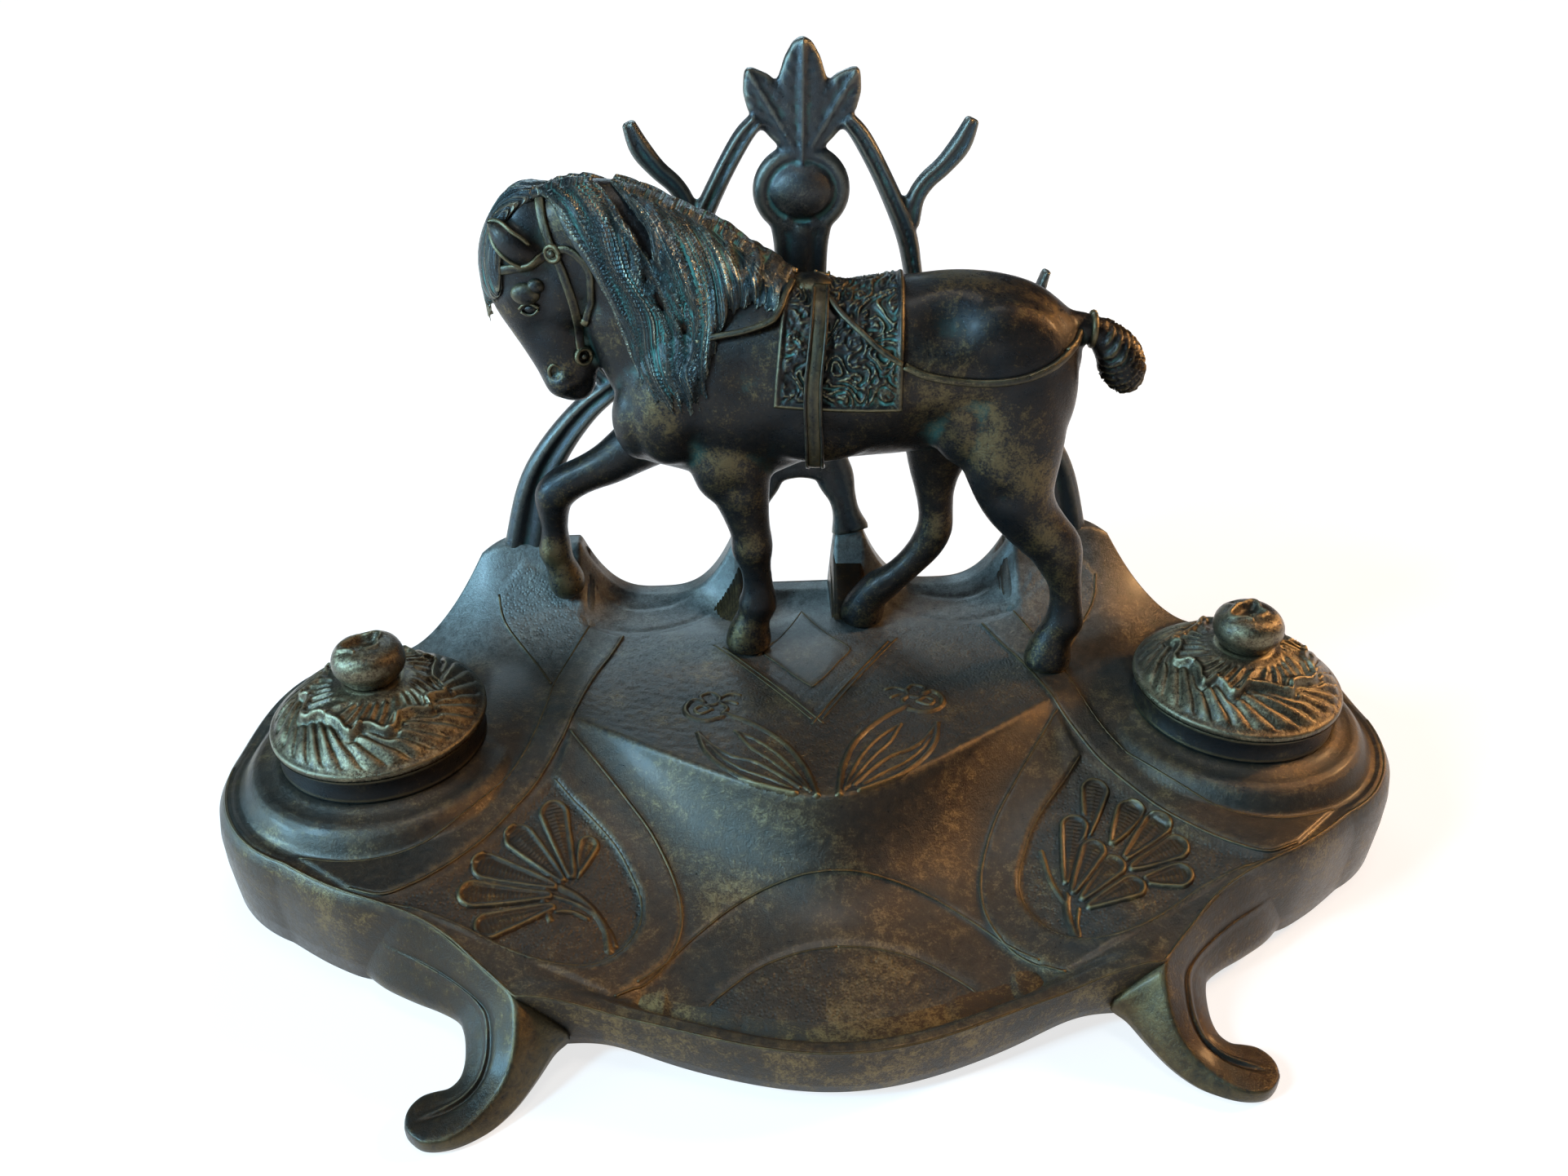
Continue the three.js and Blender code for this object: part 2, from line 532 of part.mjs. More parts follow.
const FAR_HIND_SHARES = [[0.24, 0.06, 0.65, 0.12, 0.08], [0.22, 0.08, 0.53, 0.08, 0.06],
  [0.22, 0.08, 0.43, 0.056, 0.048], [0.23, 0.08, 0.32, 0.053, 0.045], [0.19, 0.08, 0.21, 0.04, 0.038],
  [0.1, 0.08, 0.11, 0.044, 0.042], [0.075, 0.08, 0.07, 0.045, 0.042], [0.06, 0.08, 0.04, 0.055, 0.05],
  [0.054, 0.08, -0.02, 0.061, 0.055]];
const FORELEG_SHARES = [[-0.579, 0.058, 0.526, 0.06, 0.054], [-0.64, 0.046, 0.465, 0.052, 0.046],
  [-0.725, 0.04, 0.425, 0.048, 0.044], [-0.765, 0.036, 0.365, 0.046, 0.042],
  [-0.77, 0.036, 0.295, 0.036, 0.034], [-0.777, 0.036, 0.225, 0.044, 0.04],
  [-0.765, 0.036, 0.175, 0.038, 0.036], [-0.755, 0.036, 0.145, 0.046, 0.044],
  [-0.745, 0.036, 0.09, 0.05, 0.046]];
const SHOULDER_SHARES = [[-0.43, 0.06, 0.62, 0.1, 0.08], [-0.51, 0.06, 0.57, 0.075, 0.062],
  [-0.565, 0.058, 0.535, 0.064, 0.056]];
const TAIL_SHARES = [[0.553, 0, 0.865, 0.036, 0.036], [0.6, 0, 0.86, 0.046, 0.046],
  [0.645, 0, 0.815, 0.054, 0.054], [0.66, 0, 0.765, 0.05, 0.05], [0.645, 0, 0.735, 0.025, 0.025]];
// Masses of muscle, and the saddle: place and half sizes, with the tilt in degrees
const MASS_SHARES = [{ centre: [-0.4, 0.097, 0.717], half: [0.108, 0.062, 0.175], tilt: 18 },
  { centre: [-0.292, 0.078, 0.558], half: [0.092, 0.06, 0.125], tilt: 8 },
  { centre: [0.333, 0.087, 0.825], half: [0.167, 0.083, 0.15], tilt: -12 },
  { centre: [0.275, 0.092, 0.7], half: [0.1, 0.067, 0.15], tilt: -18 },
  { centre: [0.383, 0.097, 0.625], half: [0.108, 0.067, 0.15], tilt: 12 },
  { centre: [-0.095, 0, 0.972], half: [0.053, 0.053, 0.025], tilt: 0 }];
const MASS_SIDES = 10;
// Saddle cloth and girth: their reach along the barrel, how far they stand out, and the cloth's lower edge
const CLOTH_REACH_SHARES = [-0.174, 0.125];
const CLOTH_LIFT_SHARE = 0.011;
const CLOTH_LOW_SHARE = 0.735;
const GIRTH_REACH_SHARES = [-0.095, -0.057];
const GIRTH_LIFT_SHARE = 0.02;
const HOOVES = [{ name: 'near_fore', place: [-0.247, -0.066] }, { name: 'near_hind', place: [0.55, -0.108] },
  { name: 'far_hind', place: [0.055, 0.08] }];
const LIMB_SIDES = 10;
const BODY_SIDES = 16;

function horseLoft(shares, sides) {
  return loftSolid(shares.map((station) => station.map((share) => share * HORSE_HEIGHT)), sides);
}

function muscleMass({ centre: [x, y, z], half, tilt }, side) {
  const mass = new THREE.SphereGeometry(1, MASS_SIDES, MASS_SIDES / 2);
  mass.rotateX(Math.PI / 2).scale(...half).rotateY(THREE.MathUtils.degToRad(tilt)).translate(x, y * side, z);
  return toSolid(mass.scale(HORSE_HEIGHT, HORSE_HEIGHT, HORSE_HEIGHT));
}

// The barrel between two places, swollen by a lift: the stations of a cloth or strap that goes round it
function barrelBand([from, to], lift) {
  const at = (along) => {
    const next = TRUNK_SHARES.findIndex((station) => station[0] > along);
    const [before, after] = [TRUNK_SHARES[next - 1], TRUNK_SHARES[next]];
    const share = (along - before[0]) / (after[0] - before[0]);
    return before.map((value, i) => mix(value, after[i], share));
  };
  const between = TRUNK_SHARES.filter(([along]) => along > from && along < to);
  return [at(from), ...between, at(to)].map(([x, y, z, depth, width]) => [x, y, z, depth + lift, width + lift]);
}

function onDeck([along, across]) {
  const place = new THREE.Vector2(along * HORSE_HEIGHT, across * HORSE_HEIGHT);
  place.rotateAround(new THREE.Vector2(), HORSE_TURN);
  return [HORSE_ACROSS + place.x, HORSE_BACK + place.y];
}

const inkstand = new THREE.Group();
inkstand.position.set(0, (FOOT_REACH - BACK_REACH) / 2, 0);

// Base casting with its feet, bored for the wells, the hoof studs and the gallery screws
function wellPlaces() {
  return [['left', -WELL_ACROSS], ['right', WELL_ACROSS]];
}

let base = toSolid(baseShell());
base = unite([base, scrollFoot(-1), scrollFoot(1)]);
wellPlaces().forEach(([, across]) => {
  const facing = rod(COLLAR_RADIUS + SEAT_GAP, SEAT_HEIGHT, DECK_HEIGHT + CUT_OVERRUN, TURNED_SIDES);
  const bore = rod(WELL_BORE, CORNER_HEIGHT, DECK_HEIGHT + CUT_OVERRUN, TURNED_SIDES);
  base = base.subtract(toSolid(facing.translate(across, 0, 0)));
  base = base.subtract(toSolid(bore.translate(across, 0, 0)));
});
tonguePlaces().forEach((across) => {
  const hole = rod(GALLERY_SCREW_RADIUS + HOLE_CLEARANCE, 0, WALL + CUT_OVERRUN * 2);
  hole.rotateX(Math.PI / 2).translate(across, BACK_EDGE + CUT_OVERRUN, STUB_TOP - TONGUE_SCREW_DROP);
  base = base.subtract(toSolid(hole));
});
HOOVES.forEach(({ place }) => {
  const hole = rod(STUD_RADIUS + HOLE_CLEARANCE, DECK_HEIGHT - WALL - CUT_OVERRUN, DECK_HEIGHT + CUT_OVERRUN);
  base = base.subtract(toSolid(hole.translate(...onDeck(place), 0)));
});
inkstand.add(nodeOf('base_casting', toGeometry(base), bronze()));

// Back gallery: bars and plates joined, with tongues hanging behind the stubs
const SIDE_BAR_SHARES = [[0.94, -0.0273, 0.5], [0.8786, 0.1182, 0.44], [0.8071, 0.2091, 0.37],
  [0.6929, 0.3, 0.3], [0.5714, 0.3636, 0.24], [0.4429, 0.4318, 0.22], [0.3643, 0.5091, 0.2],
  [0.3429, 0.5818, 0.2], [0.3143, 0.6545, 0.22], [0.2429, 0.75, 0.2], [0.1714, 0.8273, 0.19],
  [0.0857, 0.8864, 0.18]];
const HORN_SHARES = [[0.3429, 0.6, 0.18], [0.3857, 0.6636, 0.19], [0.45, 0.7273, 0.22],
  [0.4929, 0.7864, 0.19], [0.5143, 0.8409, 0.1]];
const TINE_SHARES = [[0.5929, 0.35, 0.2], [0.6786, 0.4182, 0.19], [0.7286, 0.4909, 0.16],
  [0.7643, 0.5727, 0.08]];
const FINIAL_ROOT_SHARE = 0.6;
const FINIAL_SHARES = [[0.5, 0], [0.4, 0.12], [0.6, 0.44], [1.07, 0.712], [0.6, 0.66], [0.45, 0.74],
  [0.36, 0.88], [0.14, 0.98]];
const PILLAR_OUT_SHARES = [0.4, 0.2, 0.055];
const PILLAR_UP_SHARES = [0.06, 0.318, 0.641];
const PILLAR_HIP_SHARES = [0.5, 0.6];
const BOSS_FLAT_SHARE = 0.6;
const BAR_DEPTH_SHARE = 0.75;
const FINIAL_DEPTH_SHARE = 0.85;
const SCREW_DOME_SHARE = 0.8;

// Places [across, height, half width] in shares of the stubs' spread, the gallery's rise and a leg's width
function onGallery([across, height, half]) {
  return [STUB_END * across, mix(STUB_TOP, GALLERY_HEIGHT, height), LEG_WIDTH * half];
}

function mirrorPlaces(places) {
  return places.map(([across, ...rest]) => [-across, ...rest]);
}

function bothWays(half) {
  return half.concat(mirrorPlaces(half).reverse());
}

function middlePillars() {
  const foot = STUB_TOP + SEAT_GAP;
  const spring = ARCH_TOP - ARCH_HALF_WIDTH;
  const neck = MEDALLION_RADIUS / 2;
  const [hipOut, hipUp] = PILLAR_HIP_SHARES;
  const hip = [mix(ARCH_HALF_WIDTH, PILLAR_FOOT, hipOut), mix(foot, ARCH_TOP, hipUp)];
  const stem = PILLAR_UP_SHARES.map((up, i) => [mix(neck, PILLAR_FOOT, PILLAR_OUT_SHARES[i]),
    mix(ARCH_TOP, MEDALLION_HEIGHT, up)]);
  const outer = [[PILLAR_FOOT, foot], hip, ...stem, [neck, MEDALLION_HEIGHT]];
  const inner = [];
  const steps = 6;
  for (let i = 0; i < steps; i += 1) {
    const angle = Math.PI / 2 * (1 - i / steps);
    inner.push([ARCH_HALF_WIDTH * Math.cos(angle), spring + ARCH_HALF_WIDTH * Math.sin(angle)]);
  }
  inner.push([ARCH_HALF_WIDTH, foot]);
  const right = inner.slice(1).concat(outer);
  return plate([[0, ARCH_TOP], ...right, ...mirrorPlaces(right).reverse()], GALLERY_THICKNESS);
}

function medallion() {
  const front = GALLERY_FRONT;
  const disc = rod(MEDALLION_RADIUS, 0, GALLERY_THICKNESS, TURNED_SIDES / 2);
  const recess = rod(MEDALLION_RADIUS - WALL, GALLERY_THICKNESS - WALL / 2, GALLERY_THICKNESS + CUT_OVERRUN,
    TURNED_SIDES / 2);
  const boss = new THREE.SphereGeometry(BOSS_RADIUS, TURNED_SIDES / 2, SMALL_SIDES / 2);
  boss.rotateX(Math.PI / 2).scale(1, 1, BOSS_FLAT_SHARE).translate(0, 0, GALLERY_THICKNESS - WALL / 2);
  const solid = toSolid(disc).subtract(toSolid(recess)).add(toSolid(boss));
  return solid.rotate([90, 0, 0]).translate([0, front + GALLERY_THICKNESS, MEDALLION_HEIGHT]);
}

function tonguePlaces() {
  const middle = (ARCH_HALF_WIDTH + PILLAR_FOOT) / 2;
  const side = STUB_END - LEG_WIDTH / 2;
  return [-side, -middle, middle, side];
}

function tongue(across) {
  const bottom = STUB_TOP - TONGUE_DROP;
  const top = STUB_TOP + TONGUE_WIDTH;
  const hanging = new THREE.BoxGeometry(TONGUE_WIDTH, TONGUE_THICKNESS, top - bottom);
  hanging.translate(across, BACK_EDGE + SEAT_GAP + TONGUE_THICKNESS / 2, (top + bottom) / 2);
  const root = new THREE.BoxGeometry(TONGUE_WIDTH, TONGUE_THICKNESS, TONGUE_WIDTH - SEAT_GAP);
  root.translate(across, BACK_EDGE, (top + STUB_TOP + SEAT_GAP) / 2);
  const hole = rod(GALLERY_SCREW_RADIUS + HOLE_CLEARANCE, -CUT_OVERRUN, TONGUE_THICKNESS + CUT_OVERRUN);
  hole.rotateX(Math.PI / 2).translate(across, TONGUE_BACK, STUB_TOP - TONGUE_SCREW_DROP);
  return toSolid(hanging).add(toSolid(root)).subtract(toSolid(hole));
}

function gallery() {
  const legSteps = 30;
  const hornSteps = 8;
  const barDepth = GALLERY_THICKNESS * BAR_DEPTH_SHARE;
  const [leg, horn, tine] = [SIDE_BAR_SHARES, HORN_SHARES, TINE_SHARES].map((shares) => shares.map(onGallery));
  const finialRoot = MEDALLION_HEIGHT + MEDALLION_RADIUS * FINIAL_ROOT_SHARE;
  const finial = FINIAL_SHARES.map(([across, up]) => [LEG_WIDTH * across, mix(finialRoot, GALLERY_HEIGHT, up)]);
  const solids = [middlePillars(), medallion()];
  solids.push(plate(bothWays(finial), GALLERY_THICKNESS * FINIAL_DEPTH_SHARE));
  [(places) => places, mirrorPlaces].forEach((toSide) => {
    solids.push(bar(toSide(leg), GALLERY_THICKNESS, legSteps));
    solids.push(bar(toSide(horn), barDepth, hornSteps));
    solids.push(bar(toSide(tine), barDepth, hornSteps));
  });
  const below = new THREE.BoxGeometry(HALF_WIDTH * 2, GALLERY_THICKNESS * 2, LEG_WIDTH);
  below.translate(0, GALLERY_FRONT, STUB_TOP + SEAT_GAP - LEG_WIDTH / 2);
  return unite([unite(solids).subtract(toSolid(below)), ...tonguePlaces().map(tongue)]);
}

inkstand.add(nodeOf('back_gallery', toGeometry(gallery()), bronze()));

function galleryScrewProfile() {
  const head = GALLERY_SCREW_HEAD_HEIGHT;
  const half = GALLERY_SCREW_HEAD_RADIUS;
  return [[0, -GALLERY_SCREW_LENGTH], [GALLERY_SCREW_RADIUS, -GALLERY_SCREW_LENGTH],
    [GALLERY_SCREW_RADIUS, 0], [half, 0], [half, head / 2], [half * SCREW_DOME_SHARE, head], [0, head]];
}

tonguePlaces().forEach((across, i) => {
  const screw = nodeOf(`gallery_screw_${i + 1}`, turned(galleryScrewProfile(), SMALL_SIDES), steel());
  screw.rotation.x = -Math.PI / 2;
  screw.position.set(across, TONGUE_BACK + SEAT_GAP, STUB_TOP - TONGUE_SCREW_DROP);
  inkstand.add(screw);
});

// Well collar, ink liner, lid, knob and knob screw of each side
function collarProfile() {
  const bottom = SEAT_HEIGHT - COLLAR_SPIGOT;
  const seat = SEAT_HEIGHT + SEAT_GAP;
  const spigot = WELL_BORE - HOLE_CLEARANCE;
  return [[COLLAR_BORE, bottom], [spigot, bottom], [spigot, seat], [COLLAR_RADIUS, seat],
    [COLLAR_RADIUS, COLLAR_TOP], [COLLAR_BORE, COLLAR_TOP], [COLLAR_BORE, bottom]];
}

function linerProfile() {
  const seat = COLLAR_TOP + SEAT_GAP;
  const outer = COLLAR_BORE - LINER_SIDE_CLEARANCE;
  const inner = outer - LINER_WALL;
  const bottom = seat - LINER_DEPTH;
  const brim = seat + LINER_FLANGE_THICKNESS;
  return [[0, bottom], [outer, bottom], [outer, seat], [LINER_FLANGE, seat], [LINER_FLANGE, brim],
    [inner, brim], [inner, bottom + LINER_WALL], [0, bottom + LINER_WALL]];
}

const LID_DOME_SHARES = [[0.985, 0.06], [0.92, 0.3], [0.76, 0.6], [0.55, 0.79], [0.36, 0.89]];

function lidProfile() {
  const seat = COLLAR_TOP + SEAT_GAP;
  const rim = seat + LID_RIM_HEIGHT;
  const rise = LID_RISE - LID_RIM_HEIGHT;
  const dome = LID_DOME_SHARES.map(([radius, height]) => [LID_RADIUS * radius, rim + rise * height]);
  const inside = dome.slice().reverse().map(([radius, height]) => [radius - LID_WALL, height - LID_WALL]);
  const recess = LINER_FLANGE + LINER_SIDE_CLEARANCE;
  const top = seat + LID_RISE;
  return [[recess, seat], [LID_RADIUS, seat], [LID_RADIUS, rim], ...dome, [LID_NECK_RADIUS, top],
    [KNOB_SCREW_RADIUS + HOLE_CLEARANCE, top], [KNOB_SCREW_RADIUS + HOLE_CLEARANCE, top - LID_WALL],
    [LID_NECK_RADIUS, top - LID_WALL], ...inside.filter(([radius]) => radius > LID_NECK_RADIUS),
    [recess, rim], [recess, seat]];
}

const KNOB_SHARES = [[0.72, 0], [0.82, 0.1], [1, 0.4], [0.97, 0.7], [0.8, 0.92], [0.55, 1]];

function knobProfile() {
  const bottom = COLLAR_TOP + LID_RISE + SEAT_GAP * 2;
  const bore = KNOB_SCREW_RADIUS + HOLE_CLEARANCE;
  const depth = bottom + KNOB_SCREW_LENGTH - LID_WALL;
  const outside = KNOB_SHARES.map(([radius, height]) => [KNOB_RADIUS * radius, bottom + KNOB_HEIGHT * height]);
  return [[0, depth], [bore, depth], [bore, bottom], ...outside, [0, bottom + KNOB_HEIGHT]];
}

function knobScrewProfile() {
  const seat = COLLAR_TOP + LID_RISE - LID_WALL;
  const head = seat - KNOB_SCREW_HEAD_HEIGHT;
  const tip = seat + KNOB_SCREW_LENGTH;
  return [[0, head], [KNOB_SCREW_HEAD_RADIUS, head], [KNOB_SCREW_HEAD_RADIUS, seat],
    [KNOB_SCREW_RADIUS, seat], [KNOB_SCREW_RADIUS, tip], [0, tip]];
}

wellPlaces().forEach(([side, across]) => {
  const well = new THREE.Group();
  well.position.set(across, 0, 0);
  well.add(nodeOf(`${side}_well_collar`, turned(collarProfile()), bronze()));
  well.add(nodeOf(`${side}_ink_liner`, turned(linerProfile()), glaze()));
  well.add(nodeOf(`${side}_lid`, turned(lidProfile()), paleBronze()));
  well.add(nodeOf(`${side}_lid_knob`, turned(knobProfile(), TURNED_SIDES / 2), paleBronze()));
  well.add(nodeOf(`${side}_knob_screw`, turned(knobScrewProfile(), SMALL_SIDES), steel()));
  inkstand.add(well);
});

// Horse casting with its tail, raised foreleg, pin, studs and nuts
const FORELEG_JOINT = [FORELEG_SHARES[0], SHOULDER_SHARES[2]].map(([x, y, z]) => new THREE.Vector3(x, y, z));
const JOINT_MIDDLE = FORELEG_JOINT[0].clone().add(FORELEG_JOINT[1]).multiplyScalar(HORSE_HEIGHT / 2);
const JOINT_ALONG = FORELEG_JOINT[0].clone().sub(FORELEG_JOINT[1]).normalize();
const PIN_HALF_LENGTH = HORSE_HEIGHT * PIN_LENGTH_SHARE;

function pinRod(radius, half) {
  const turn = new THREE.Quaternion().setFromUnitVectors(new THREE.Vector3(0, 0, 1), JOINT_ALONG);
  return rod(radius, -half, half).applyQuaternion(turn).translate(...JOINT_MIDDLE.toArray());
}

function tailTenon(radius, overrun) {
  const [x, y, z] = TAIL_SHARES[0].map((share) => share * HORSE_HEIGHT);
  const tenon = rod(radius, -TAIL_TENON_LENGTH, overrun);
  return toSolid(tenon.rotateY(Math.PI / 2).translate(x, y, z));
}

const horse = new THREE.Group();
horse.position.set(HORSE_ACROSS, HORSE_BACK, DECK_HEIGHT + SEAT_GAP);
horse.rotation.z = HORSE_TURN;
inkstand.add(horse);

const body = [TRUNK_SHARES, NECK_SHARES, HEAD_SHARES].map((shares) => horseLoft(shares, BODY_SIDES));
const limbs = [NEAR_FORE_SHARES, NEAR_HIND_SHARES, FAR_HIND_SHARES, SHOULDER_SHARES, EAR_SHARES,
  EAR_SHARES.map(([x, y, ...rest]) => [x, -y, ...rest])].map((shares) => horseLoft(shares, LIMB_SIDES));
const underHooves = new THREE.BoxGeometry(HORSE_HEIGHT * 2, HORSE_HEIGHT, HORSE_HEIGHT);
const masses = MASS_SHARES.flatMap((mass) => [muscleMass(mass, 1), muscleMass(mass, -1)]);
const underCloth = new THREE.BoxGeometry(HORSE_HEIGHT, HORSE_HEIGHT, HORSE_HEIGHT);
underCloth.translate(0, 0, HORSE_HEIGHT * (CLOTH_LOW_SHARE - 1 / 2));
const cloth = horseLoft(barrelBand(CLOTH_REACH_SHARES, CLOTH_LIFT_SHARE), BODY_SIDES).subtract(toSolid(underCloth));
const girth = horseLoft(barrelBand(GIRTH_REACH_SHARES, GIRTH_LIFT_SHARE), BODY_SIDES);
let casting = unite(body.concat(limbs, masses, [cloth, girth]));
casting = casting.subtract(toSolid(underHooves.translate(0, 0, -HORSE_HEIGHT / 2)));
const tailSocket = tailTenon(TAIL_TENON_RADIUS + HOLE_CLEARANCE, CUT_OVERRUN).translate([-SEAT_GAP, 0, 0]);
const pinHole = toSolid(pinRod(PIN_RADIUS + HOLE_CLEARANCE, PIN_HALF_LENGTH + HOLE_CLEARANCE));
casting = casting.subtract(tailSocket).subtract(pinHole);
HOOVES.forEach(({ place: [along, across] }) => {
  const hole = rod(STUD_RADIUS + HOLE_CLEARANCE, -CUT_OVERRUN, STUD_IN_HOOF + HOLE_CLEARANCE);
  casting = casting.subtract(toSolid(hole.translate(along * HORSE_HEIGHT, across * HORSE_HEIGHT, 0)));
});
const tail = horseLoft(TAIL_SHARES, LIMB_SIDES).add(tailTenon(TAIL_TENON_RADIUS, TAIL_TENON_RADIUS));
const foreleg = horseLoft(FORELEG_SHARES, LIMB_SIDES).subtract(pinHole);
horse.add(nodeOf('horse_casting', toGeometry(casting), bronze()));
horse.add(nodeOf('horse_tail', toGeometry(tail), bronze()));
horse.add(nodeOf('horse_raised_foreleg', toGeometry(foreleg), bronze()));
horse.add(nodeOf('foreleg_pin', pinRod(PIN_RADIUS, PIN_HALF_LENGTH), brass()));

function nutSolid() {
  const top = -SEAT_GAP * 2 - WALL;
  const nut = rod(NUT_RADIUS, top - NUT_HEIGHT, top, NUT_SIDES);
  const bore = rod(STUD_RADIUS + HOLE_CLEARANCE, top - NUT_HEIGHT - CUT_OVERRUN, top + CUT_OVERRUN);
  return toSolid(nut).subtract(toSolid(bore));
}

HOOVES.forEach(({ name, place: [along, across] }) => {
  const bottom = -SEAT_GAP * 2 - WALL - NUT_HEIGHT - STUD_BELOW_NUT;
  const stud = nodeOf(`${name}_stud`, rod(STUD_RADIUS, bottom, STUD_IN_HOOF), steel());
  const nut = nodeOf(`${name}_nut`, toGeometry(nutSolid()), brass());
  [stud, nut].forEach((piece) => {
    piece.position.set(along * HORSE_HEIGHT, across * HORSE_HEIGHT, 0);
    horse.add(piece);
  });
});

export default inkstand;
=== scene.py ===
import json
from math import cos, pi, radians, sin

import bmesh
import bpy
import numpy as np
from mathutils import Matrix, Vector, noise
from mathutils.bvhtree import BVHTree
from mathutils.kdtree import KDTree

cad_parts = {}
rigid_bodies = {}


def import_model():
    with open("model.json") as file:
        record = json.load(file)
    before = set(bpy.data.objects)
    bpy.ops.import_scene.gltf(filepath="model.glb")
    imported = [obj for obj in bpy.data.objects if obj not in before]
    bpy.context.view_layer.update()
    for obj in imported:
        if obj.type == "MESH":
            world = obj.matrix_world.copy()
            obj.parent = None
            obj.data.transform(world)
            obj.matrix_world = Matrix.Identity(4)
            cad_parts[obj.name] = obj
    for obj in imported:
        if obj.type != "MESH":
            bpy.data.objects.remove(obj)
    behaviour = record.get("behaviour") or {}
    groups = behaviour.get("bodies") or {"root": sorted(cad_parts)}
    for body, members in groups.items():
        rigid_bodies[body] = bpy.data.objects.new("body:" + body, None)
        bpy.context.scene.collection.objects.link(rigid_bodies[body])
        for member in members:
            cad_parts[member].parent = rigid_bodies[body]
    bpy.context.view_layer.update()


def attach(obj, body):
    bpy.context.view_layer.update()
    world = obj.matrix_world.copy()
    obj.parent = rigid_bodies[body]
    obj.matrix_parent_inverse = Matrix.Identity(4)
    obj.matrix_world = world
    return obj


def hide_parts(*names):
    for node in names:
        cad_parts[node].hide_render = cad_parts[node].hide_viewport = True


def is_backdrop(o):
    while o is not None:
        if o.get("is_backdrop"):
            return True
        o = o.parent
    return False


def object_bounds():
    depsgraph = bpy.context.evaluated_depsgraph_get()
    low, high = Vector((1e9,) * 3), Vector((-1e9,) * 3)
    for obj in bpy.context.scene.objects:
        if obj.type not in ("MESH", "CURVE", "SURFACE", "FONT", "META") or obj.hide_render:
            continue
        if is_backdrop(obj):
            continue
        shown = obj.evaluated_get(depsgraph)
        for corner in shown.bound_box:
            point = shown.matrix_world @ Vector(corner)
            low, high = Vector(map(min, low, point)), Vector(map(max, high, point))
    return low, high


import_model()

# Camera and stage: the photograph's view from a little above and to the left, a white floor that keeps
# the inkstand's shadow, and plain soft lamps.
VIEW_TARGET = Vector((-0.00968, 0.01425, 0.08872))
VIEW_AZIMUTH, VIEW_ELEVATION, VIEW_DISTANCE = radians(-3.831), radians(31.319), 0.32835
VIEW_LENS, SENSOR_WIDTH, NEAREST_SEEN = 27.11, 36, 0.01
view_back = Vector((sin(VIEW_AZIMUTH) * cos(VIEW_ELEVATION), -cos(VIEW_AZIMUTH) * cos(VIEW_ELEVATION),
                    sin(VIEW_ELEVATION)))
view_data = bpy.data.cameras.new("view")
view_data.sensor_width, view_data.lens, view_data.clip_start = SENSOR_WIDTH, VIEW_LENS, NEAREST_SEEN
view = bpy.data.objects.new("view", view_data)
view.location = VIEW_TARGET + view_back * VIEW_DISTANCE
view.rotation_euler = (-view_back).to_track_quat("-Z", "Y").to_euler()
bpy.context.scene.collection.objects.link(view)
bpy.context.scene.camera = view
bpy.context.scene.view_settings.view_transform = "Standard"


class Nodes:
    """The nodes of a material or a world: add() makes one and feeds it values or other nodes' outputs."""

    def __init__(self, owner):
        owner.use_nodes = True
        self.owner, self.tree = owner, owner.node_tree
        self.shader = self.tree.nodes.get("Principled BSDF")

    def add(self, kind, inputs=None, **settings):
        node = self.tree.nodes.new("ShaderNode" + kind)
        for key, value in settings.items():
            setattr(node, key, value)
        self.feed(node, inputs or {})
        return node

    def feed(self, node, inputs):
        for key, value in inputs.items():
            if isinstance(value, bpy.types.NodeSocket):
                self.tree.links.new(value, node.inputs[key])
            else:
                node.inputs[key].default_value = value

    def place(self):
        return self.add("TexCoord").outputs["Object"]

    def marked(self, name):
        return self.add("Attribute", attribute_name=name).outputs["Fac"]

    def noise(self, scale, detail=5, roughness=0.6, distortion=0):
        return self.add("TexNoise", {"Vector": self.place(), "Scale": scale, "Detail": detail,
                                     "Roughness": roughness, "Distortion": distortion}).outputs["Fac"]

    def math(self, operation, a, b=0.0, clamp=False):
        return self.add("Math", {0: a, 1: b}, operation=operation, use_clamp=clamp).outputs[0]

    def plus(self, a, b):
        return self.math("ADD", a, b)

    def less(self, a, b):
        return self.math("SUBTRACT", a, b)

    def times(self, a, b, clamp=False):
        return self.math("MULTIPLY", a, b, clamp)

    def span(self, value, low, high, to_low=0.0, to_high=1.0):
        return self.add("MapRange", {"Value": value, "From Min": low, "From Max": high, "To Min": to_low,
                                     "To Max": to_high}).outputs[0]

    def blend(self, share, a, b):
        return self.add("Mix", {0: share, 6: a, 7: b}, data_type="RGBA").outputs[2]


FLOOR_SIZE, FLOOR_COLOUR = 8, (0.36, 0.36, 0.36, 1)
GLOW_NEAR, GLOW_FAR, GLOW_REACH = 0.75, 1.0, (0.3, 1.1)
floor_mesh = bmesh.new()
bmesh.ops.create_grid(floor_mesh, x_segments=1, y_segments=1, size=FLOOR_SIZE / 2)
floor_data = bpy.data.meshes.new("floor")
floor_mesh.to_mesh(floor_data)
floor = bpy.data.objects.new("floor", floor_data)
bpy.context.scene.collection.objects.link(floor)
paint = Nodes(bpy.data.materials.new("floor_paint"))
paint.tree.nodes.remove(paint.shader)
rays = paint.add("LightPath").outputs
seen = paint.math("MAXIMUM", rays["Is Camera Ray"], rays["Is Glossy Ray"])
seen = paint.math("MAXIMUM", seen, rays["Is Transmission Ray"])
away = paint.add("VectorMath", {0: paint.place()}, operation="LENGTH").outputs["Value"]
glow = paint.times(seen, paint.span(away, *GLOW_REACH, GLOW_NEAR, GLOW_FAR))
floor_light = paint.add("AddShader", {0: paint.add("BsdfDiffuse", {"Color": FLOOR_COLOUR}).outputs[0],
                                      1: paint.add("Emission", {"Strength": glow}).outputs[0]}).outputs[0]
paint.feed(paint.tree.nodes["Material Output"], {"Surface": floor_light})
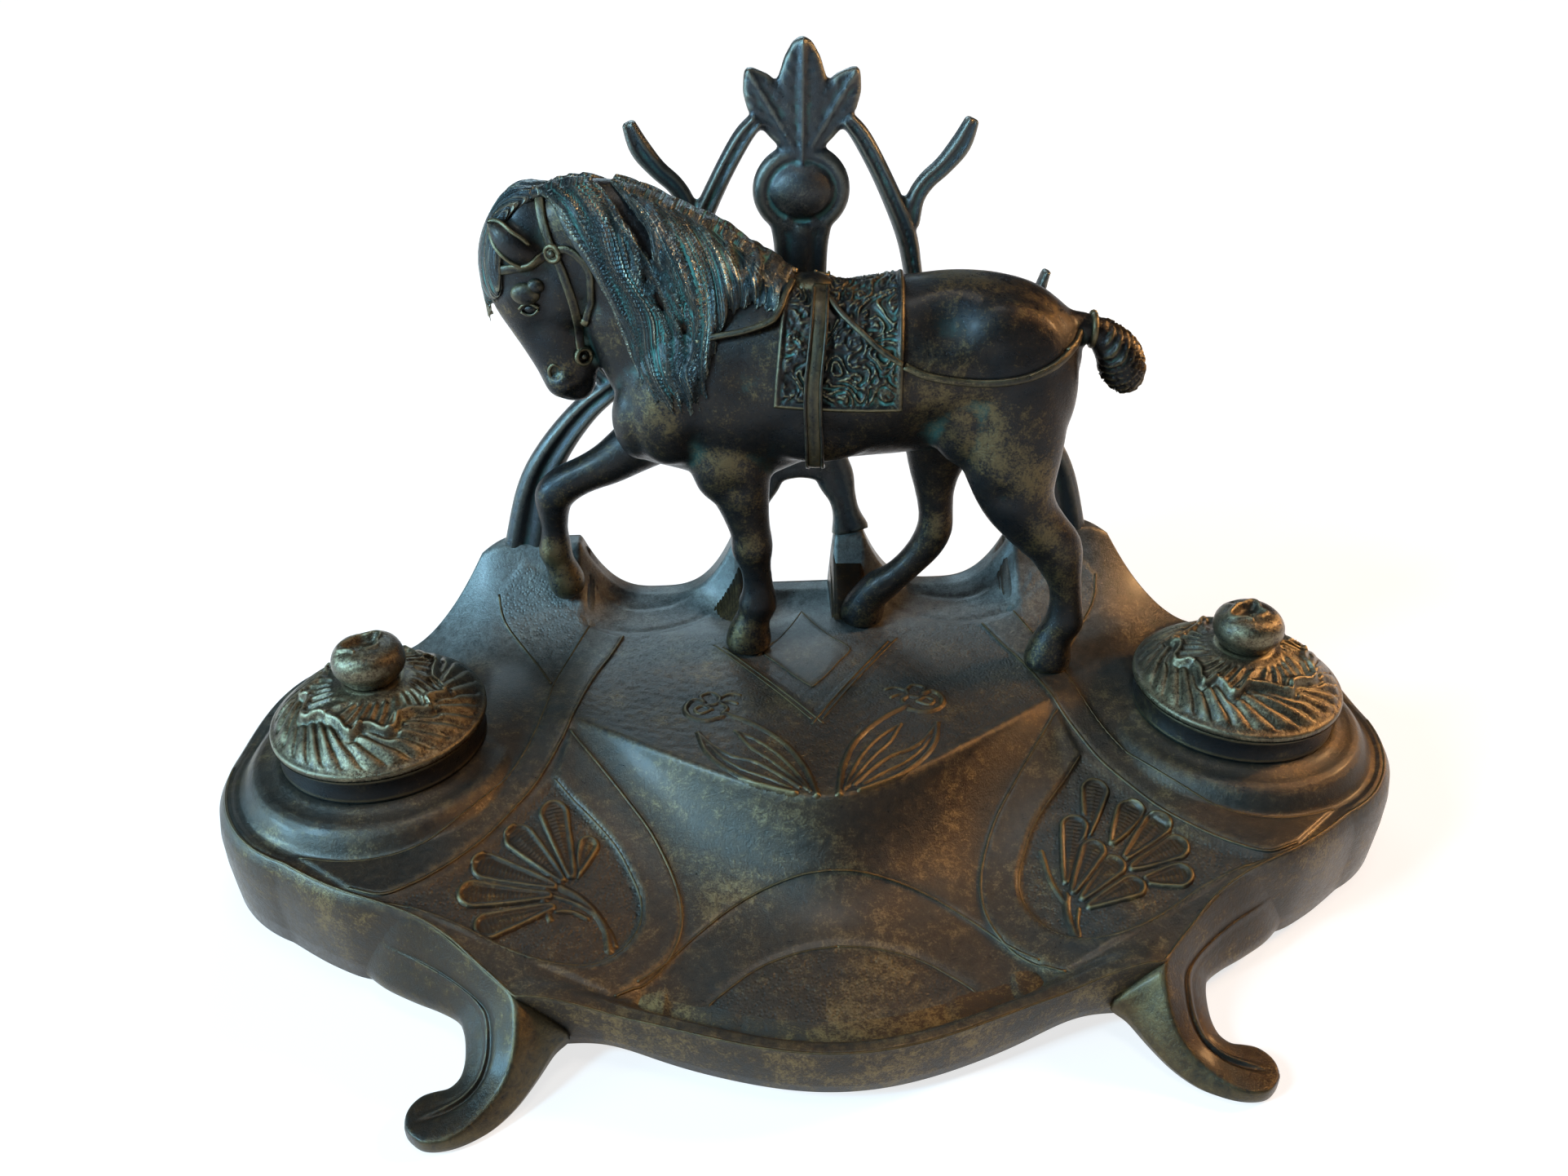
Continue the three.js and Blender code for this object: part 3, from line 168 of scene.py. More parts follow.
floor_data.materials.append(paint.owner)
floor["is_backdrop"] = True

# The sky is white to the camera and nearly dark to everything else, so that the lamps alone light the bronze
SKY_UNSEEN, SKY_SEEN = 0.05, 1.0
sky = Nodes(bpy.data.worlds.new("sky"))
bpy.context.scene.world = sky.owner
sky_level = sky.span(sky.add("LightPath").outputs["Is Camera Ray"], 0.0, 1.0, SKY_UNSEEN, SKY_SEEN)
sky.feed(sky.tree.nodes["Background"], {"Color": (1, 1, 1, 1), "Strength": sky_level})

# Name, place, size, watts and colour of each lamp
LAMPS = [
    ("window", (-0.8, -0.4, 0.7), (0.16, 0.28), 11.0, (0.42, 0.75, 1.0)),
    ("window_low", (-1.1, -0.25, 0.34), (0.4, 0.22), 15.0, (0.34, 0.72, 1.0)),
    ("window_behind", (-0.12, 1.0, 0.66), (0.5, 0.2), 3.0, (0.6, 0.84, 1.0)),
    ("lamp_right", (0.8, 0.15, 0.5), (0.14, 0.14), 6.5, (1.0, 0.56, 0.24)),
    ("ceiling", (0.05, -0.1, 1.2), (0.3, 0.3), 2.5, (1.0, 0.93, 0.84))]
for lamp_name, lamp_place, lamp_size, lamp_power, lamp_colour in LAMPS:
    lamp_data = bpy.data.lights.new(lamp_name, "AREA")
    lamp_data.shape, lamp_data.size, lamp_data.size_y = "RECTANGLE", *lamp_size
    lamp_data.energy, lamp_data.color = lamp_power, lamp_colour
    lamp = bpy.data.objects.new(lamp_name, lamp_data)
    lamp.location = lamp_place
    lamp.rotation_euler = (VIEW_TARGET - lamp.location).to_track_quat("-Z", "Y").to_euler()
    bpy.context.scene.collection.objects.link(lamp)

# Base casting: one hollow bronze casting with two ink wells, a pen tray and a ribbed and stippled deck,
# cast in sand, chased, patinated nearly black and rubbed bright on its edges. Sizes are millimetres on
# its plan, x = 0 in the middle and y = 0 through the wells.
PLAN_SHIFT = 14.25
WELL_ACROSS, SHOULDER_RADIUS = 126.5, 45.5
BACK_EDGE, STUB_END = 73.0, 98.0
DECK, WALL, SEAT = 44.0, 3.2, 42.0
SHOULDER_LIP, CORNER_HEIGHT, FRONT_LIP, TRAY_FLOOR = 33.0, 24.0, 19.0, 13.5
LIP_HALF, LIP_REACH = 81.0, 99.0
RIDGE_HALF, RIDGE_MIDDLE, RIDGE_END = 71.0, -36.0, 3.5
STUB_TOP, SCOOP_HEIGHT, GALLERY_FRONT = 68.0, 47.0, 67.0
ARCH_HALF, PILLAR_FOOT = 11.0, 24.0
FRONT_POINTS = [
    (81, -81), (84.5, -77.8), (88, -74.6), (92, -71.2), (96, -67.6), (100, -64.6), (105, -61.8),
    (110, -59.6), (117.5, -56.9), (125, -54), (133, -49.8), (139, -46), (145.9, -41.2)]
BACK_POINTS = [
    (98, 73), (105, 67.5), (111.5, 62), (117.4, 56.5), (122.7, 51.2), (127.5, 47.3), (132.2, 45.1)]


def smooth(low, high, value):
    """A soft step from 0 at low to 1 at high."""
    share = np.clip((value - low) / (high - low), 0, 1)
    return share * share * (3 - 2 * share)


def mix(a, b, share):
    """The value that lies a share of the way from a to b."""
    return a + (b - a) * share


def ridge_line(across):
    """The rounded V on the plan where the deck breaks down to the tray."""
    rounded = lambda v: np.hypot(v, 18) - 18
    return mix(RIDGE_MIDDLE, RIDGE_END, rounded(np.minimum(across, RIDGE_HALF)) / rounded(RIDGE_HALF))


def front_line(across):
    """The front edge of the plan between the feet."""
    return -mix(LIP_HALF, LIP_REACH, np.cos(pi / 2 * np.minimum(across / LIP_HALF, 1)) ** 2)


def tray_height(across, y):
    """The bowl of the pen tray, rising to its corners and flanks."""
    share = (ridge_line(across) - y) / (ridge_line(across) - front_line(across))
    share = np.clip(0.5 * (share + np.hypot(share, 0.14 * smooth(68, 86, across))), 0, 1)
    curve = mix(6, 3, smooth(0, RIDGE_HALF, across))
    bowl = TRAY_FLOOR + (DECK - TRAY_FLOOR) * mix((1 - share) ** curve, 1 - share, 0.28)
    corner = (CORNER_HEIGHT - TRAY_FLOOR) * smooth(38, 88, across)
    flank = (SHOULDER_LIP - CORNER_HEIGHT) * smooth(LIP_HALF, WELL_ACROSS, across)
    return bowl + (corner + flank) * (1 - (1 - share) ** 4)


def rear_top(across):
    """Height of the back edge: a hanging curve from each pillar foot to its stub, and the arch between."""
    scoop = np.minimum(np.abs(across - 47.5) / 25.6, 1) ** 3
    scoop = np.maximum(scoop, 1 - smooth(PILLAR_FOOT - 3, PILLAR_FOOT + 2, across))
    arch = 1 - smooth(ARCH_HALF, ARCH_HALF * 1.05, across)
    outer = (1 - smooth(STUB_END, STUB_END + SHOULDER_RADIUS, across)) ** 1.6
    return SCOOP_HEIGHT + (STUB_TOP - SCOOP_HEIGHT) * np.maximum(scoop - arch, 0) * outer


def deck_height(across, y):
    """The deck, level in the middle and rising to its back edge from nearer the front at the sides."""
    start = BACK_EDGE * mix(mix(0.72, 0.42, smooth(34, 62, across)), 0.38, smooth(84, 112, across))
    rise = np.clip((y - start) / (GALLERY_FRONT - start), 0, 1)
    return DECK + (rear_top(across) - DECK) * rise ** 2.5


def end_fall(across, y):
    """How far the deck falls away between the wells and the ends."""
    ahead = np.clip((ridge_line(across) - y) / (ridge_line(across) - front_line(across)), 0, 1)
    behind = np.clip(y / BACK_EDGE, 0, 1)
    return (DECK - CORNER_HEIGHT) * smooth(STUB_END, WELL_ACROSS, across) * ((1 - ahead) * (1 - behind)) ** 2


SHOULDER_TURN = [
    (0, 42), (29.3, 42), (30.4, 41.8), (32, 41.1), (33.6, 40.7), (35.2, 40.5), (36.8, 39.9), (38.3, 38.6),
    (39.6, 36.8), (40.7, 35.1), (41.8, 34), (43, 33.6), (44.2, 33.8), (45.5, 33.4)]


def shoulder_height(across, y):
    """A broad convex roll round the well, a cove below it and a raised lip, all fading toward the back."""
    radius = np.hypot(across - WELL_ACROSS, y)
    front = 1 - smooth(0.1, 0.8, y / np.maximum(radius, 0.3))
    turned_height = np.interp(radius, *zip(*SHOULDER_TURN))
    return SEAT - (SEAT - turned_height) * front - np.maximum(radius - SHOULDER_RADIUS, 0)


def curve_through(points, step=2.0):
    """A smooth line through the points, as an array of closely spaced places."""
    p = np.array(points, float)
    p = np.vstack([2 * p[0] - p[1], p, 2 * p[-1] - p[-2]])
    out = []
    for a, b, c, d in zip(p, p[1:], p[2:], p[3:]):
        count = max(2, int(np.ceil(np.linalg.norm(c - b) / step)))
        t = (np.arange(count) / count)[:, None]
        square, cube = 2 * a - 5 * b + 4 * c - d, 3 * b - a - 3 * c + d
        out.append(0.5 * (2 * b + (c - a) * t + square * t ** 2 + cube * t ** 3))
    return np.vstack(out + [p[-2][None]])


def line_distance(x, y, line):
    """Distance of each place from a line."""
    best = np.full(x.shape, 1e9)
    for (ax, ay), (bx, by) in zip(line[:, :2], line[1:, :2]):
        dx, dy = bx - ax, by - ay
        t = np.clip(((x - ax) * dx + (y - ay) * dy) / (dx * dx + dy * dy + 1e-9), 0, 1)
        best = np.minimum(best, np.hypot(x - ax - t * dx, y - ay - t * dy))
    return best


def inside(x, y, line):
    """Signed distance to a closed line, positive inside it."""
    closed = np.vstack([line[:, :2], line[:1, :2]])
    crossed = np.zeros(x.shape, bool)
    for (ax, ay), (bx, by) in zip(closed, closed[1:]):
        if ay != by:
            crossed ^= ((ay > y) != (by > y)) & (x < (bx - ax) * (y - ay) / (by - ay) + ax)
    return np.where(crossed, 1, -1) * line_distance(x, y, closed)


# Lines of the ornament on one half of the plan; the other half mirrors them
COVE_EDGE = curve_through([
    (70.5, 48), (75, 37), (79, 23), (81, 10), (83.5, 0), (87.5, -10), (93, -20), (100, -29), (109, -37),
    (119, -41.3), (130, -42.4), (142, -40)])
BAND_EDGE = curve_through([
    (59.5, 45), (63, 35), (67, 25), (70, 15), (72, 7), (73.8, 1), (77.8, -8), (82.3, -17), (88.3, -26),
    (95.3, -36), (103, -44.5), (110.5, -50.8), (117.5, -54.6), (126, -52.4)])
PANEL_OUTER = curve_through([
    (73, 0), (64.5, -11), (56.5, -21), (49.5, -30), (44.8, -38.5), (41.8, -46.5), (40.8, -54), (42, -61),
    (45.2, -67.5), (50.2, -73), (57.5, -77.8)])
PANEL_INNER = curve_through([
    (76.8, -14.5), (71, -21), (65, -27), (58.8, -34), (54.8, -41), (52, -47.5), (51.4, -53.5), (53, -59),
    (56.6, -64.5), (61.5, -68.5), (68, -70.3), (77, -69.7), (86, -66.6), (97, -61.5), (108, -58.3),
    (116, -56.8)])
PANEL_TOP = curve_through([(111.5, -54), (102.2, -47.5), (93.6, -38.5), (86.2, -28.5), (80.5, -19.5)])
PANEL_FIELD = np.vstack([PANEL_INNER, PANEL_TOP])
LOW_PANEL = curve_through([
    (0, -47), (10, -47.3), (20, -49.2), (28, -52.6), (35, -57.4), (41, -62.6), (46.5, -68.5), (52, -73)])
OVAL = curve_through([
    (0, -65), (10, -66), (20, -69), (28, -74), (34.5, -80.3), (28, -85.5), (19, -89.3), (9, -91.2),
    (0, -91.8)])
BACK_LEAF = curve_through([(100, 57), (98, 50), (91, 40), (85.5, 31), (80.5, 21)])
CHEVRON = curve_through([(28.5, 38), (22.3, 29.5), (14.5, 18.5), (7, 7.5), (0, -3.6)])
DIAMOND = curve_through([(0, 57), (4, 49), (8.5, 41.5), (13.8, 34.2), (9.5, 27), (4.8, 20), (0, 14)])
LUNETTE_LOW = curve_through([(28, 60.5), (36, 54.6), (45, 50.2), (55, 48.2), (65, 49), (74, 52), (83, 58)])
LUNETTE_TOP = curve_through([(37, 66.5), (45, 62.5), (54, 60.3), (63, 60.6), (72, 64)])


def base_top(x, y):
    """Height of the ornamented upper face, and how much of the stippled ground shows there."""
    within = lambda soft, *lines: smooth(-soft, soft, inside(across, y, np.vstack(lines)))
    groove = lambda line, deep, wide: deep * np.exp(-(line_distance(across, y, line) / wide) ** 2)
    across = np.abs(x)
    beyond = smooth(68, 86, across)
    ahead = smooth(ridge_line(across) - 2.2 - 9 * beyond, ridge_line(across) + 1.4 + 24 * beyond, y)
    field = mix(tray_height(across, y), deck_height(across, y), ahead) - end_fall(across, y)
    height = np.maximum(field, shoulder_height(across, y))
    band = within(0.7, COVE_EDGE, BAND_EDGE[::-1])
    loop = within(0.6, PANEL_OUTER, PANEL_INNER[:-4][::-1])
    panel = within(0.6, PANEL_FIELD)
    oval = within(0.8, OVAL, [(-40, -91.8), (-40, -65)])
    diamond = within(0.6, DIAMOND, [(-30, 14), (-30, 57)])
    below = within(0.8, LOW_PANEL, [(52, -99), (-60, -103), (-60, -47)])
    leaf = within(0.6, BACK_LEAF, [(80, 23), (75, 37), (70.5, 48), (78, 58), (92, 64)])
    chevron = 1 - smooth(1.3, 2.4, line_distance(across, y, CHEVRON))
    height += 0.8 * band + 0.7 * loop - 0.9 * panel - 0.35 * oval + 0.5 * chevron + 0.35 * diamond
    height += 0.35 * leaf - 0.7 * below
    height -= groove(LUNETTE_LOW, 0.5, 1.0) + groove(LUNETTE_TOP, 0.5, 1.0) + groove(OVAL, 0.3, 1.2)
    lip = (across < 84) & (y < -60)
    from_edge = y - front_line(across)
    rim = 1 - smooth(2.8, 7.5, from_edge)
    rim_top = np.maximum(height, mix(FRONT_LIP, CORNER_HEIGHT, smooth(52, LIP_HALF, across)))
    height = np.where(lip, mix(height, rim_top, rim), height)
    off_band = smooth(0, 1.5, -inside(across, y, np.vstack([COVE_EDGE, BAND_EDGE[::-1]])))
    field_ground = smooth(0.5, 2.5, y - ridge_line(across) - 1.5) * off_band * (across < 74)
    field_ground *= (1 - chevron) * (1 - diamond) * (1 - smooth(44, 48, y))
    ground = np.clip(panel + oval * 0.8 + field_ground + leaf * 0.8, 0, 1)
    return height, ground


def grain(x, y, scale):
    """Small irregular dimples of a punched ground, from plain sines."""
    x, y = x * scale, y * scale
    coarse = np.sin(x + 2.1 * np.sin(y * 0.73)) * np.sin(y * 1.13 + 1.7 * np.sin(x * 0.81))
    fine = np.sin(x * 2.3 + y * 1.1) * np.sin(y * 2.1 - x * 1.7)
    return coarse * 0.6 + fine * 0.4


COLUMNS, ROWS, SKIRT_ROWS, UNDER_ROWS = 420, 192, 9, 8
# The column at which the plan's straight run ends and its round end begins
KNEE = WELL_ACROSS / (WELL_ACROSS + SHOULDER_RADIUS * pi / 2)


def plan_column(u):
    """Across, front edge and back edge of the plan for a column from -1 at the left end to 1 at the right."""
    s = np.abs(u)
    turn = np.clip((s - KNEE) / (1 - KNEE), 0, 1) * pi / 2
    across = np.where(s < KNEE, s / KNEE * WELL_ACROSS, WELL_ACROSS + SHOULDER_RADIUS * np.sin(turn))
    circle = SHOULDER_RADIUS * np.sqrt(np.clip(1 - ((across - WELL_ACROSS) / SHOULDER_RADIUS) ** 2, 0, 1))
    fronts, backs = curve_through(FRONT_POINTS), curve_through(BACK_POINTS)
    front = np.where(across < LIP_HALF, front_line(across), np.interp(across, fronts[:, 0], fronts[:, 1]))
    front = np.where(across > FRONT_POINTS[-1][0], -circle, front)
    back = np.where(across < STUB_END, BACK_EDGE, np.interp(across, backs[:, 0], backs[:, 1]))
    back = np.where(across > BACK_POINTS[-1][0], circle, back)
    return np.sign(u) * across, front, back


def skirt_bottom(x, y):
    """Height of the skirt's lower edge, which arches up behind the feet, the stubs and the front curves."""
    across = np.abs(x)
    from_stub = np.hypot(across - STUB_END, y - BACK_EDGE)
    from_foot = np.hypot(across - 105, y + 69)
    arch = 3 * np.exp(-((across - 60) / 13) ** 2) * (y < 0)
    return 4.5 * smooth(13, 26, from_stub) + 6 * (1 - smooth(0, 22.5, from_foot)) + arch


def grid_patch(bm, rows, place):
    """Adds a grid whose points are put in place by their column and their row."""
    made = bmesh.ops.create_grid(bm, x_segments=COLUMNS, y_segments=rows, size=1)["verts"]
    uv = np.array([v.co[:2] for v in made])
    xyz = place(uv[:, 0], (uv[:, 1] + 1) / 2)
    for vert, co in zip(made, np.stack(xyz, 1)):
        vert.co = co


def edge_height(x, y):
    """Height of the ornamented upper face alone."""
    return base_top(x, y)[0]


FLARE, BULGE = 3.2, 0.4


def skirt_place(front):
    """The front or back skirt: down, out and inward shares of its outer face, then its inner face."""
    profile = [(0, 0, 0), (0.02, 0.25, 0), (0.12, 0.75, 0), (0.3, 1, 0), (0.55, 1.05, 0), (0.8, 1.02, 0),
               (1, 1, 0), (1, 1, -WALL), (0.5, 0.5, -WALL), (0, 0, -WALL)]
    steps = np.linspace(0, 1, len(profile))

    def place(u, v):
        x, near, far = plan_column(u)
        y = near if front else far
        down, out, into = (np.interp(v, steps, column) for column in zip(*profile))
        top = edge_height(x, y)
        top = np.where(v > 0.75, top - WALL, top)
        flare = FLARE * smooth(105, WELL_ACROSS, np.abs(x)) * out
        bulge = BULGE * np.sin(np.clip(down, 0, 1) * pi) * (v < 0.7)
        scale = 1 + (flare + into + bulge) / np.hypot(x, y)
        return x * scale, y * scale, mix(top, skirt_bottom(x, y), down)
    return place


def upper_place(u, v):
    """The upper face with the punched ground raised on it."""
    x, near, far = plan_column(u)
    y = mix(near, far, v)
    height, ground = base_top(x, y)
    return x, y, height + 0.13 * ground * grain(x, y, 3.1)


def under_place(u, v):
    """The inner face, one wall below the upper one."""
    x, near, far = plan_column(u)
    y = mix(near, far, v)
    held = 1 - WALL / np.maximum(np.hypot(x, y), 60)
    return x * held, y * held, edge_height(x, y) - WALL


WELD, NO_AREA = 0.004, 1e-9


def finish_piece(name, bm, body="base"):
    """Closes the seams, turns the faces outward, and makes the piece in the frame's metres."""
    bmesh.ops.remove_doubles(bm, verts=bm.verts[:], dist=WELD)
    bmesh.ops.delete(bm, geom=[f for f in bm.faces if f.calc_area() < NO_AREA], context="FACES_ONLY")
    bmesh.ops.recalc_face_normals(bm, faces=bm.faces[:])
    for face in bm.faces:
        face.smooth = True
    bm.transform(Matrix.Scale(0.001, 4) @ Matrix.Translation((0, PLAN_SHIFT, 0)))
    data = bpy.data.meshes.new(name)
    bm.to_mesh(data)
    bm.free()
    piece = bpy.data.objects.new(name, data)
    bpy.context.scene.collection.objects.link(piece)
    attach(piece, body)
    return piece


def applied(piece):
    """Replaces a piece's mesh with what its modifiers make of it."""
    shaped = bpy.data.meshes.new_from_object(piece.evaluated_get(bpy.context.evaluated_depsgraph_get()))
    piece.modifiers.clear()
    shaped.shade_smooth()
    piece.data = shaped


def tube(bm, stations, around=12, step=2.0, side=(0, 1, 0), square=1.0, groove=0.0):
    """Skins a bar through stations of place, half depth and half width, closed at both ends. A square share
    below 1 squares its section, and groove hollows its front."""
    line = curve_through(stations, step)
    places = np.vstack([line[:1], line, line[-1:]])
    ahead = np.gradient(line[:, :3], axis=0)
    ahead = np.vstack([ahead[:1], ahead, ahead[-1:]])
    ahead /= np.linalg.norm(ahead, axis=1)[:, None] + 1e-12
    across = np.broadcast_to(np.array(side, float), ahead.shape) if line.shape[1] < 8 else places[:, 5:8]
    across = across - (across * ahead).sum(1)[:, None] * ahead
    across /= np.linalg.norm(across, axis=1)[:, None] + 1e-12
    deep = np.cross(ahead, across)
    size = places[:, 3:5].copy()
    size[0] = size[-1] = 0
    for vert in bmesh.ops.create_grid(bm, x_segments=len(places) - 1, y_segments=around, size=1)["verts"]:
        i = round((vert.co.x + 1) / 2 * (len(places) - 1))
        angle = (vert.co.y + 1) * pi
        out, up = (np.copysign(abs(turn) ** square, turn) for turn in (cos(angle), sin(angle)))
        if up < 0:
            up *= 1 + groove * (np.exp(-((abs(out) - 0.55) / 0.2) ** 2) - np.exp(-(out / 0.28) ** 2))
        vert.co = places[i, :3] + deep[i] * size[i, 0] * out + across[i] * size[i, 1] * up


# Scroll foot, as a ribbon between its crest and its outer edge: crest, outer edge, height of the outer edge's
# lower side, foot of the front face, and depth of the double groove
FOOT_STATIONS = [
    (133, -46.5, 22, 138, -47, 8.6, 4.6, 130, -45, 12, 0),
    (127, -51, 28, 133, -51.4, 8.6, 4.6, 123, -50, 11, 0),
    (120.8, -54.6, 31.4, 126.8, -55.2, 8.8, 4.6, 116, -56, 12, 0.2),
    (112, -58.6, 32.2, 119.5, -61.4, 9, 5, 107, -61, 11, 0.6),
    (103, -62.5, 29.9, 111, -66.4, 9, 5, 98, -64, 9, 1),
    (95, -68.3, 27, 103.8, -70, 9, 5, 90, -70, 8, 1),
    (87.5, -74.9, 24.9, 98.6, -73.5, 8.8, 5, 80, -76, 7.6, 1),
    (81.6, -80.6, 23.8, 96.4, -77.3, 8.3, 4.5, 65, -82.6, 8.4, 1),
    (80.4, -86, 19.8, 95.3, -81.8, 7.4, 3.5, 69.6, -86, 6.2, 1),
    (81, -91.2, 14.6, 95, -86, 6.4, 2.2, 74.6, -91.6, 3.4, 1),
    (83.6, -95.8, 9.8, 95.8, -89.4, 5.4, 1, 79.8, -97.4, 1.2, 1),
    (88, -100.2, 6.6, 98, -91.6, 4.9, 0, 85.6, -102.2, 0, 1),
    (92.6, -104, 5.1, 101, -92, 4.6, 0, 91.5, -105.2, 0, 0.9),
    (97, -106, 4.5, 104.2, -92.9, 4.5, 0, 97, -106.4, 0, 0.5),
    (102, -105.8, 4.4, 106.4, -95.3, 4.4, 0, 102, -106, 0, 0),
    (105.6, -103, 4.2, 107.2, -98, 4.2, 0, 105.7, -103.1, 0, 0),
    (107, -101.2, 3.2, 107.3, -99.6, 3.2, 0.4, 107, -101.2, 0.4, 0)]
FOOT_TOP = [
    (0, 0, 0), (0.05, 0.3, 0), (0.14, 0.5, 0), (0.26, 0.55, 0), (0.36, 0.5, 0.1), (0.43, 0.5, 0.25),
    (0.48, 0.4, -0.7), (0.52, 0.4, -0.9), (0.56, 0.4, 0.45), (0.6, 0.4, 0.5), (0.64, 0.4, -0.35),
    (0.7, 0.45, 0), (0.8, 0.4, 0), (0.9, 0.3, 0), (0.96, 0.15, 0), (1, 0, 0)]


def scroll_foot(bm, side):
    """Skins one foot through its stations: the grooved front face, then the back faces under it."""
    line = curve_through(FOOT_STATIONS, 3)
    line = np.vstack([line[:1], line, line[-1:]])
    under = [(1, 0.5), (1, 1), (0.5, 1), (0, 1), (0, 0.5)]
    rows = len(FOOT_TOP) + len(under)
    for vert in bmesh.ops.create_grid(bm, x_segments=len(line) - 1, y_segments=rows, size=1)["verts"]:
        i = round((vert.co.x + 1) / 2 * (len(line) - 1))
        k = round((vert.co.y + 1) / 2 * rows) % rows
        crest, edge, base, groove = line[i, :3], line[i, 3:6], line[i, 7:10], line[i, 10]
        edge_low = np.array([edge[0], edge[1], line[i, 6]])
        if k < len(FOOT_TOP):
            share, crown, carve = FOOT_TOP[k]
            place = mix(crest, edge, share) + np.array([0, 0, crown + carve * groove])
        else:
            share, drop = under[k - len(FOOT_TOP)]
            high, low = {1: (edge, edge_low), 0.5: (edge_low, base), 0: (crest, base)}[share]
            place = mix(high, low, 0.5 if share == 0.5 else drop)
        if i in (0, len(line) - 1):
            place = mix(mix(crest, edge, 0.5), base, 0.3)
        vert.co = (side * place[0], place[1], place[2])


base_bm = bmesh.new()
grid_patch(base_bm, ROWS, upper_place)
grid_patch(base_bm, SKIRT_ROWS, skirt_place(True))
grid_patch(base_bm, SKIRT_ROWS, skirt_place(False))
grid_patch(base_bm, UNDER_ROWS, under_place)
inkstand_base = finish_piece("inkstand_base", base_bm)
# Each well is bored in two steps, radius and lowest level: the hole for the liner and the collar's seat
BORES, BORE_TOP = ((27.3, 22), (29.3, SEAT)), 60
for side in (-1, 1):
    for radius, low in BORES:
        bore_bm = bmesh.new()
        bmesh.ops.create_cone(bore_bm, cap_ends=True, segments=64, radius1=radius, radius2=radius,
                              depth=BORE_TOP - low,
                              matrix=Matrix.Translation((side * WELL_ACROSS, 0, (BORE_TOP + low) / 2)))
        bore = finish_piece("bore", bore_bm)
        cut = inkstand_base.modifiers.new("bore", "BOOLEAN")
        cut.operation, cut.object, cut.solver = "DIFFERENCE", bore, "FAST"
        applied(inkstand_base)
        bpy.data.objects.remove(bore)
feet_bm = bmesh.new()
scroll_foot(feet_bm, -1)
scroll_foot(feet_bm, 1)
scroll_feet = finish_piece("scroll_feet", feet_bm)
finish = scroll_feet.modifiers.new("rounding", "SUBSURF")
finish.levels = finish.render_levels = 1
applied(scroll_feet)
for vert in scroll_feet.data.vertices:
    vert.co.z = max(vert.co.z, 0)
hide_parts("base_casting")


def points_of(mesh, what="co"):
    """The mesh's points, or their normals, as rows of an array."""
    values = np.empty(len(mesh.vertices) * 3)
    mesh.vertices.foreach_get(what, values)
    return values.reshape(-1, 3)


def store(piece, name, values):
    """Gives each point of the piece a number under this name, for its material to read."""
    kept = piece.data.attributes.get(name) or piece.data.attributes.new(name, "FLOAT", "POINT")
    kept.data.foreach_set("value", np.asarray(values, np.float32))


def mark_proud(piece, passes=6, share=1.0, limits=(-np.inf, np.inf)):
    """Stores how far each point stands out of the surface around it, in millimetres, for wear and patina."""
    mesh = piece.data
    count = len(mesh.vertices)
    co, normal = points_of(mesh) * 1000, points_of(mesh, "normal")
    ends = np.empty(len(mesh.edges) * 2, np.int64)
    mesh.edges.foreach_get("vertices", ends)
    a, b = ends.reshape(-1, 2).T
    near = np.maximum(np.bincount(np.r_[a, b], minlength=count), 1)
    spread = co.copy()
    for _ in range(passes):
        spread = np.stack([(np.bincount(a, spread[b, k], count) + np.bincount(b, spread[a, k], count)) / near
                           for k in range(3)], 1)
    proud = np.clip(share * ((co - spread) * normal).sum(1), *limits)
    store(piece, "proud", proud)
    return proud


# Wear is strongest on the front lip, less on the outer faces and least in the tray. Pale dust lies on the
# deck, mostly toward the back and the left, and it also paints the cool sheen that the back of the deck would
# take from the light behind it
base_x, base_y, base_z = (points_of(inkstand_base.data) * 1000).T
base_y -= PLAN_SHIFT
heights, grounds = base_top(base_x, base_y)
off_top = np.abs(base_z - heights)
on_top = off_top < 0.8
store(inkstand_base, "ground", grounds * (off_top < 1))
store(inkstand_base, "proud", np.where(on_top, mark_proud(inkstand_base, 5, 0.3, (-0.2, 0.06)), 0))
mark_proud(scroll_feet, 5, 0.35, (-0.2, 0.1))
lip_wear = 0.2 * np.exp(-((base_y - front_line(np.abs(base_x))) / 14) ** 2) * (np.abs(base_x) < LIP_HALF + 3)
tray_wear = 0.06 * (np.abs(base_x) < 60) * (base_y < -39.25)
store(inkstand_base, "worn", lip_wear + 0.12 * (~on_top) + tray_wear)
# Painted sheen: the pale dust on the deck grows toward the back and fades toward the right end, where the
# deck would reflect cool light
fainter_on_right = 1 - 0.75 * smooth(60, 130, base_x)
store(inkstand_base, "dust", on_top * (0.15 + 0.85 * smooth(8, 62, base_y) * fainter_on_right))


DARK_PATINA, BROWN_PATINA = (0.012, 0.015, 0.018, 1), (0.07, 0.036, 0.012, 1)
BRASS, VERDIGRIS = (0.24, 0.176, 0.078, 1), (0.08, 0.27, 0.23, 1)
# A pale cool grey, for dust and for the painted cool sheen on the deck
DUST_AND_SHEEN = (0.2, 0.215, 0.21, 1)


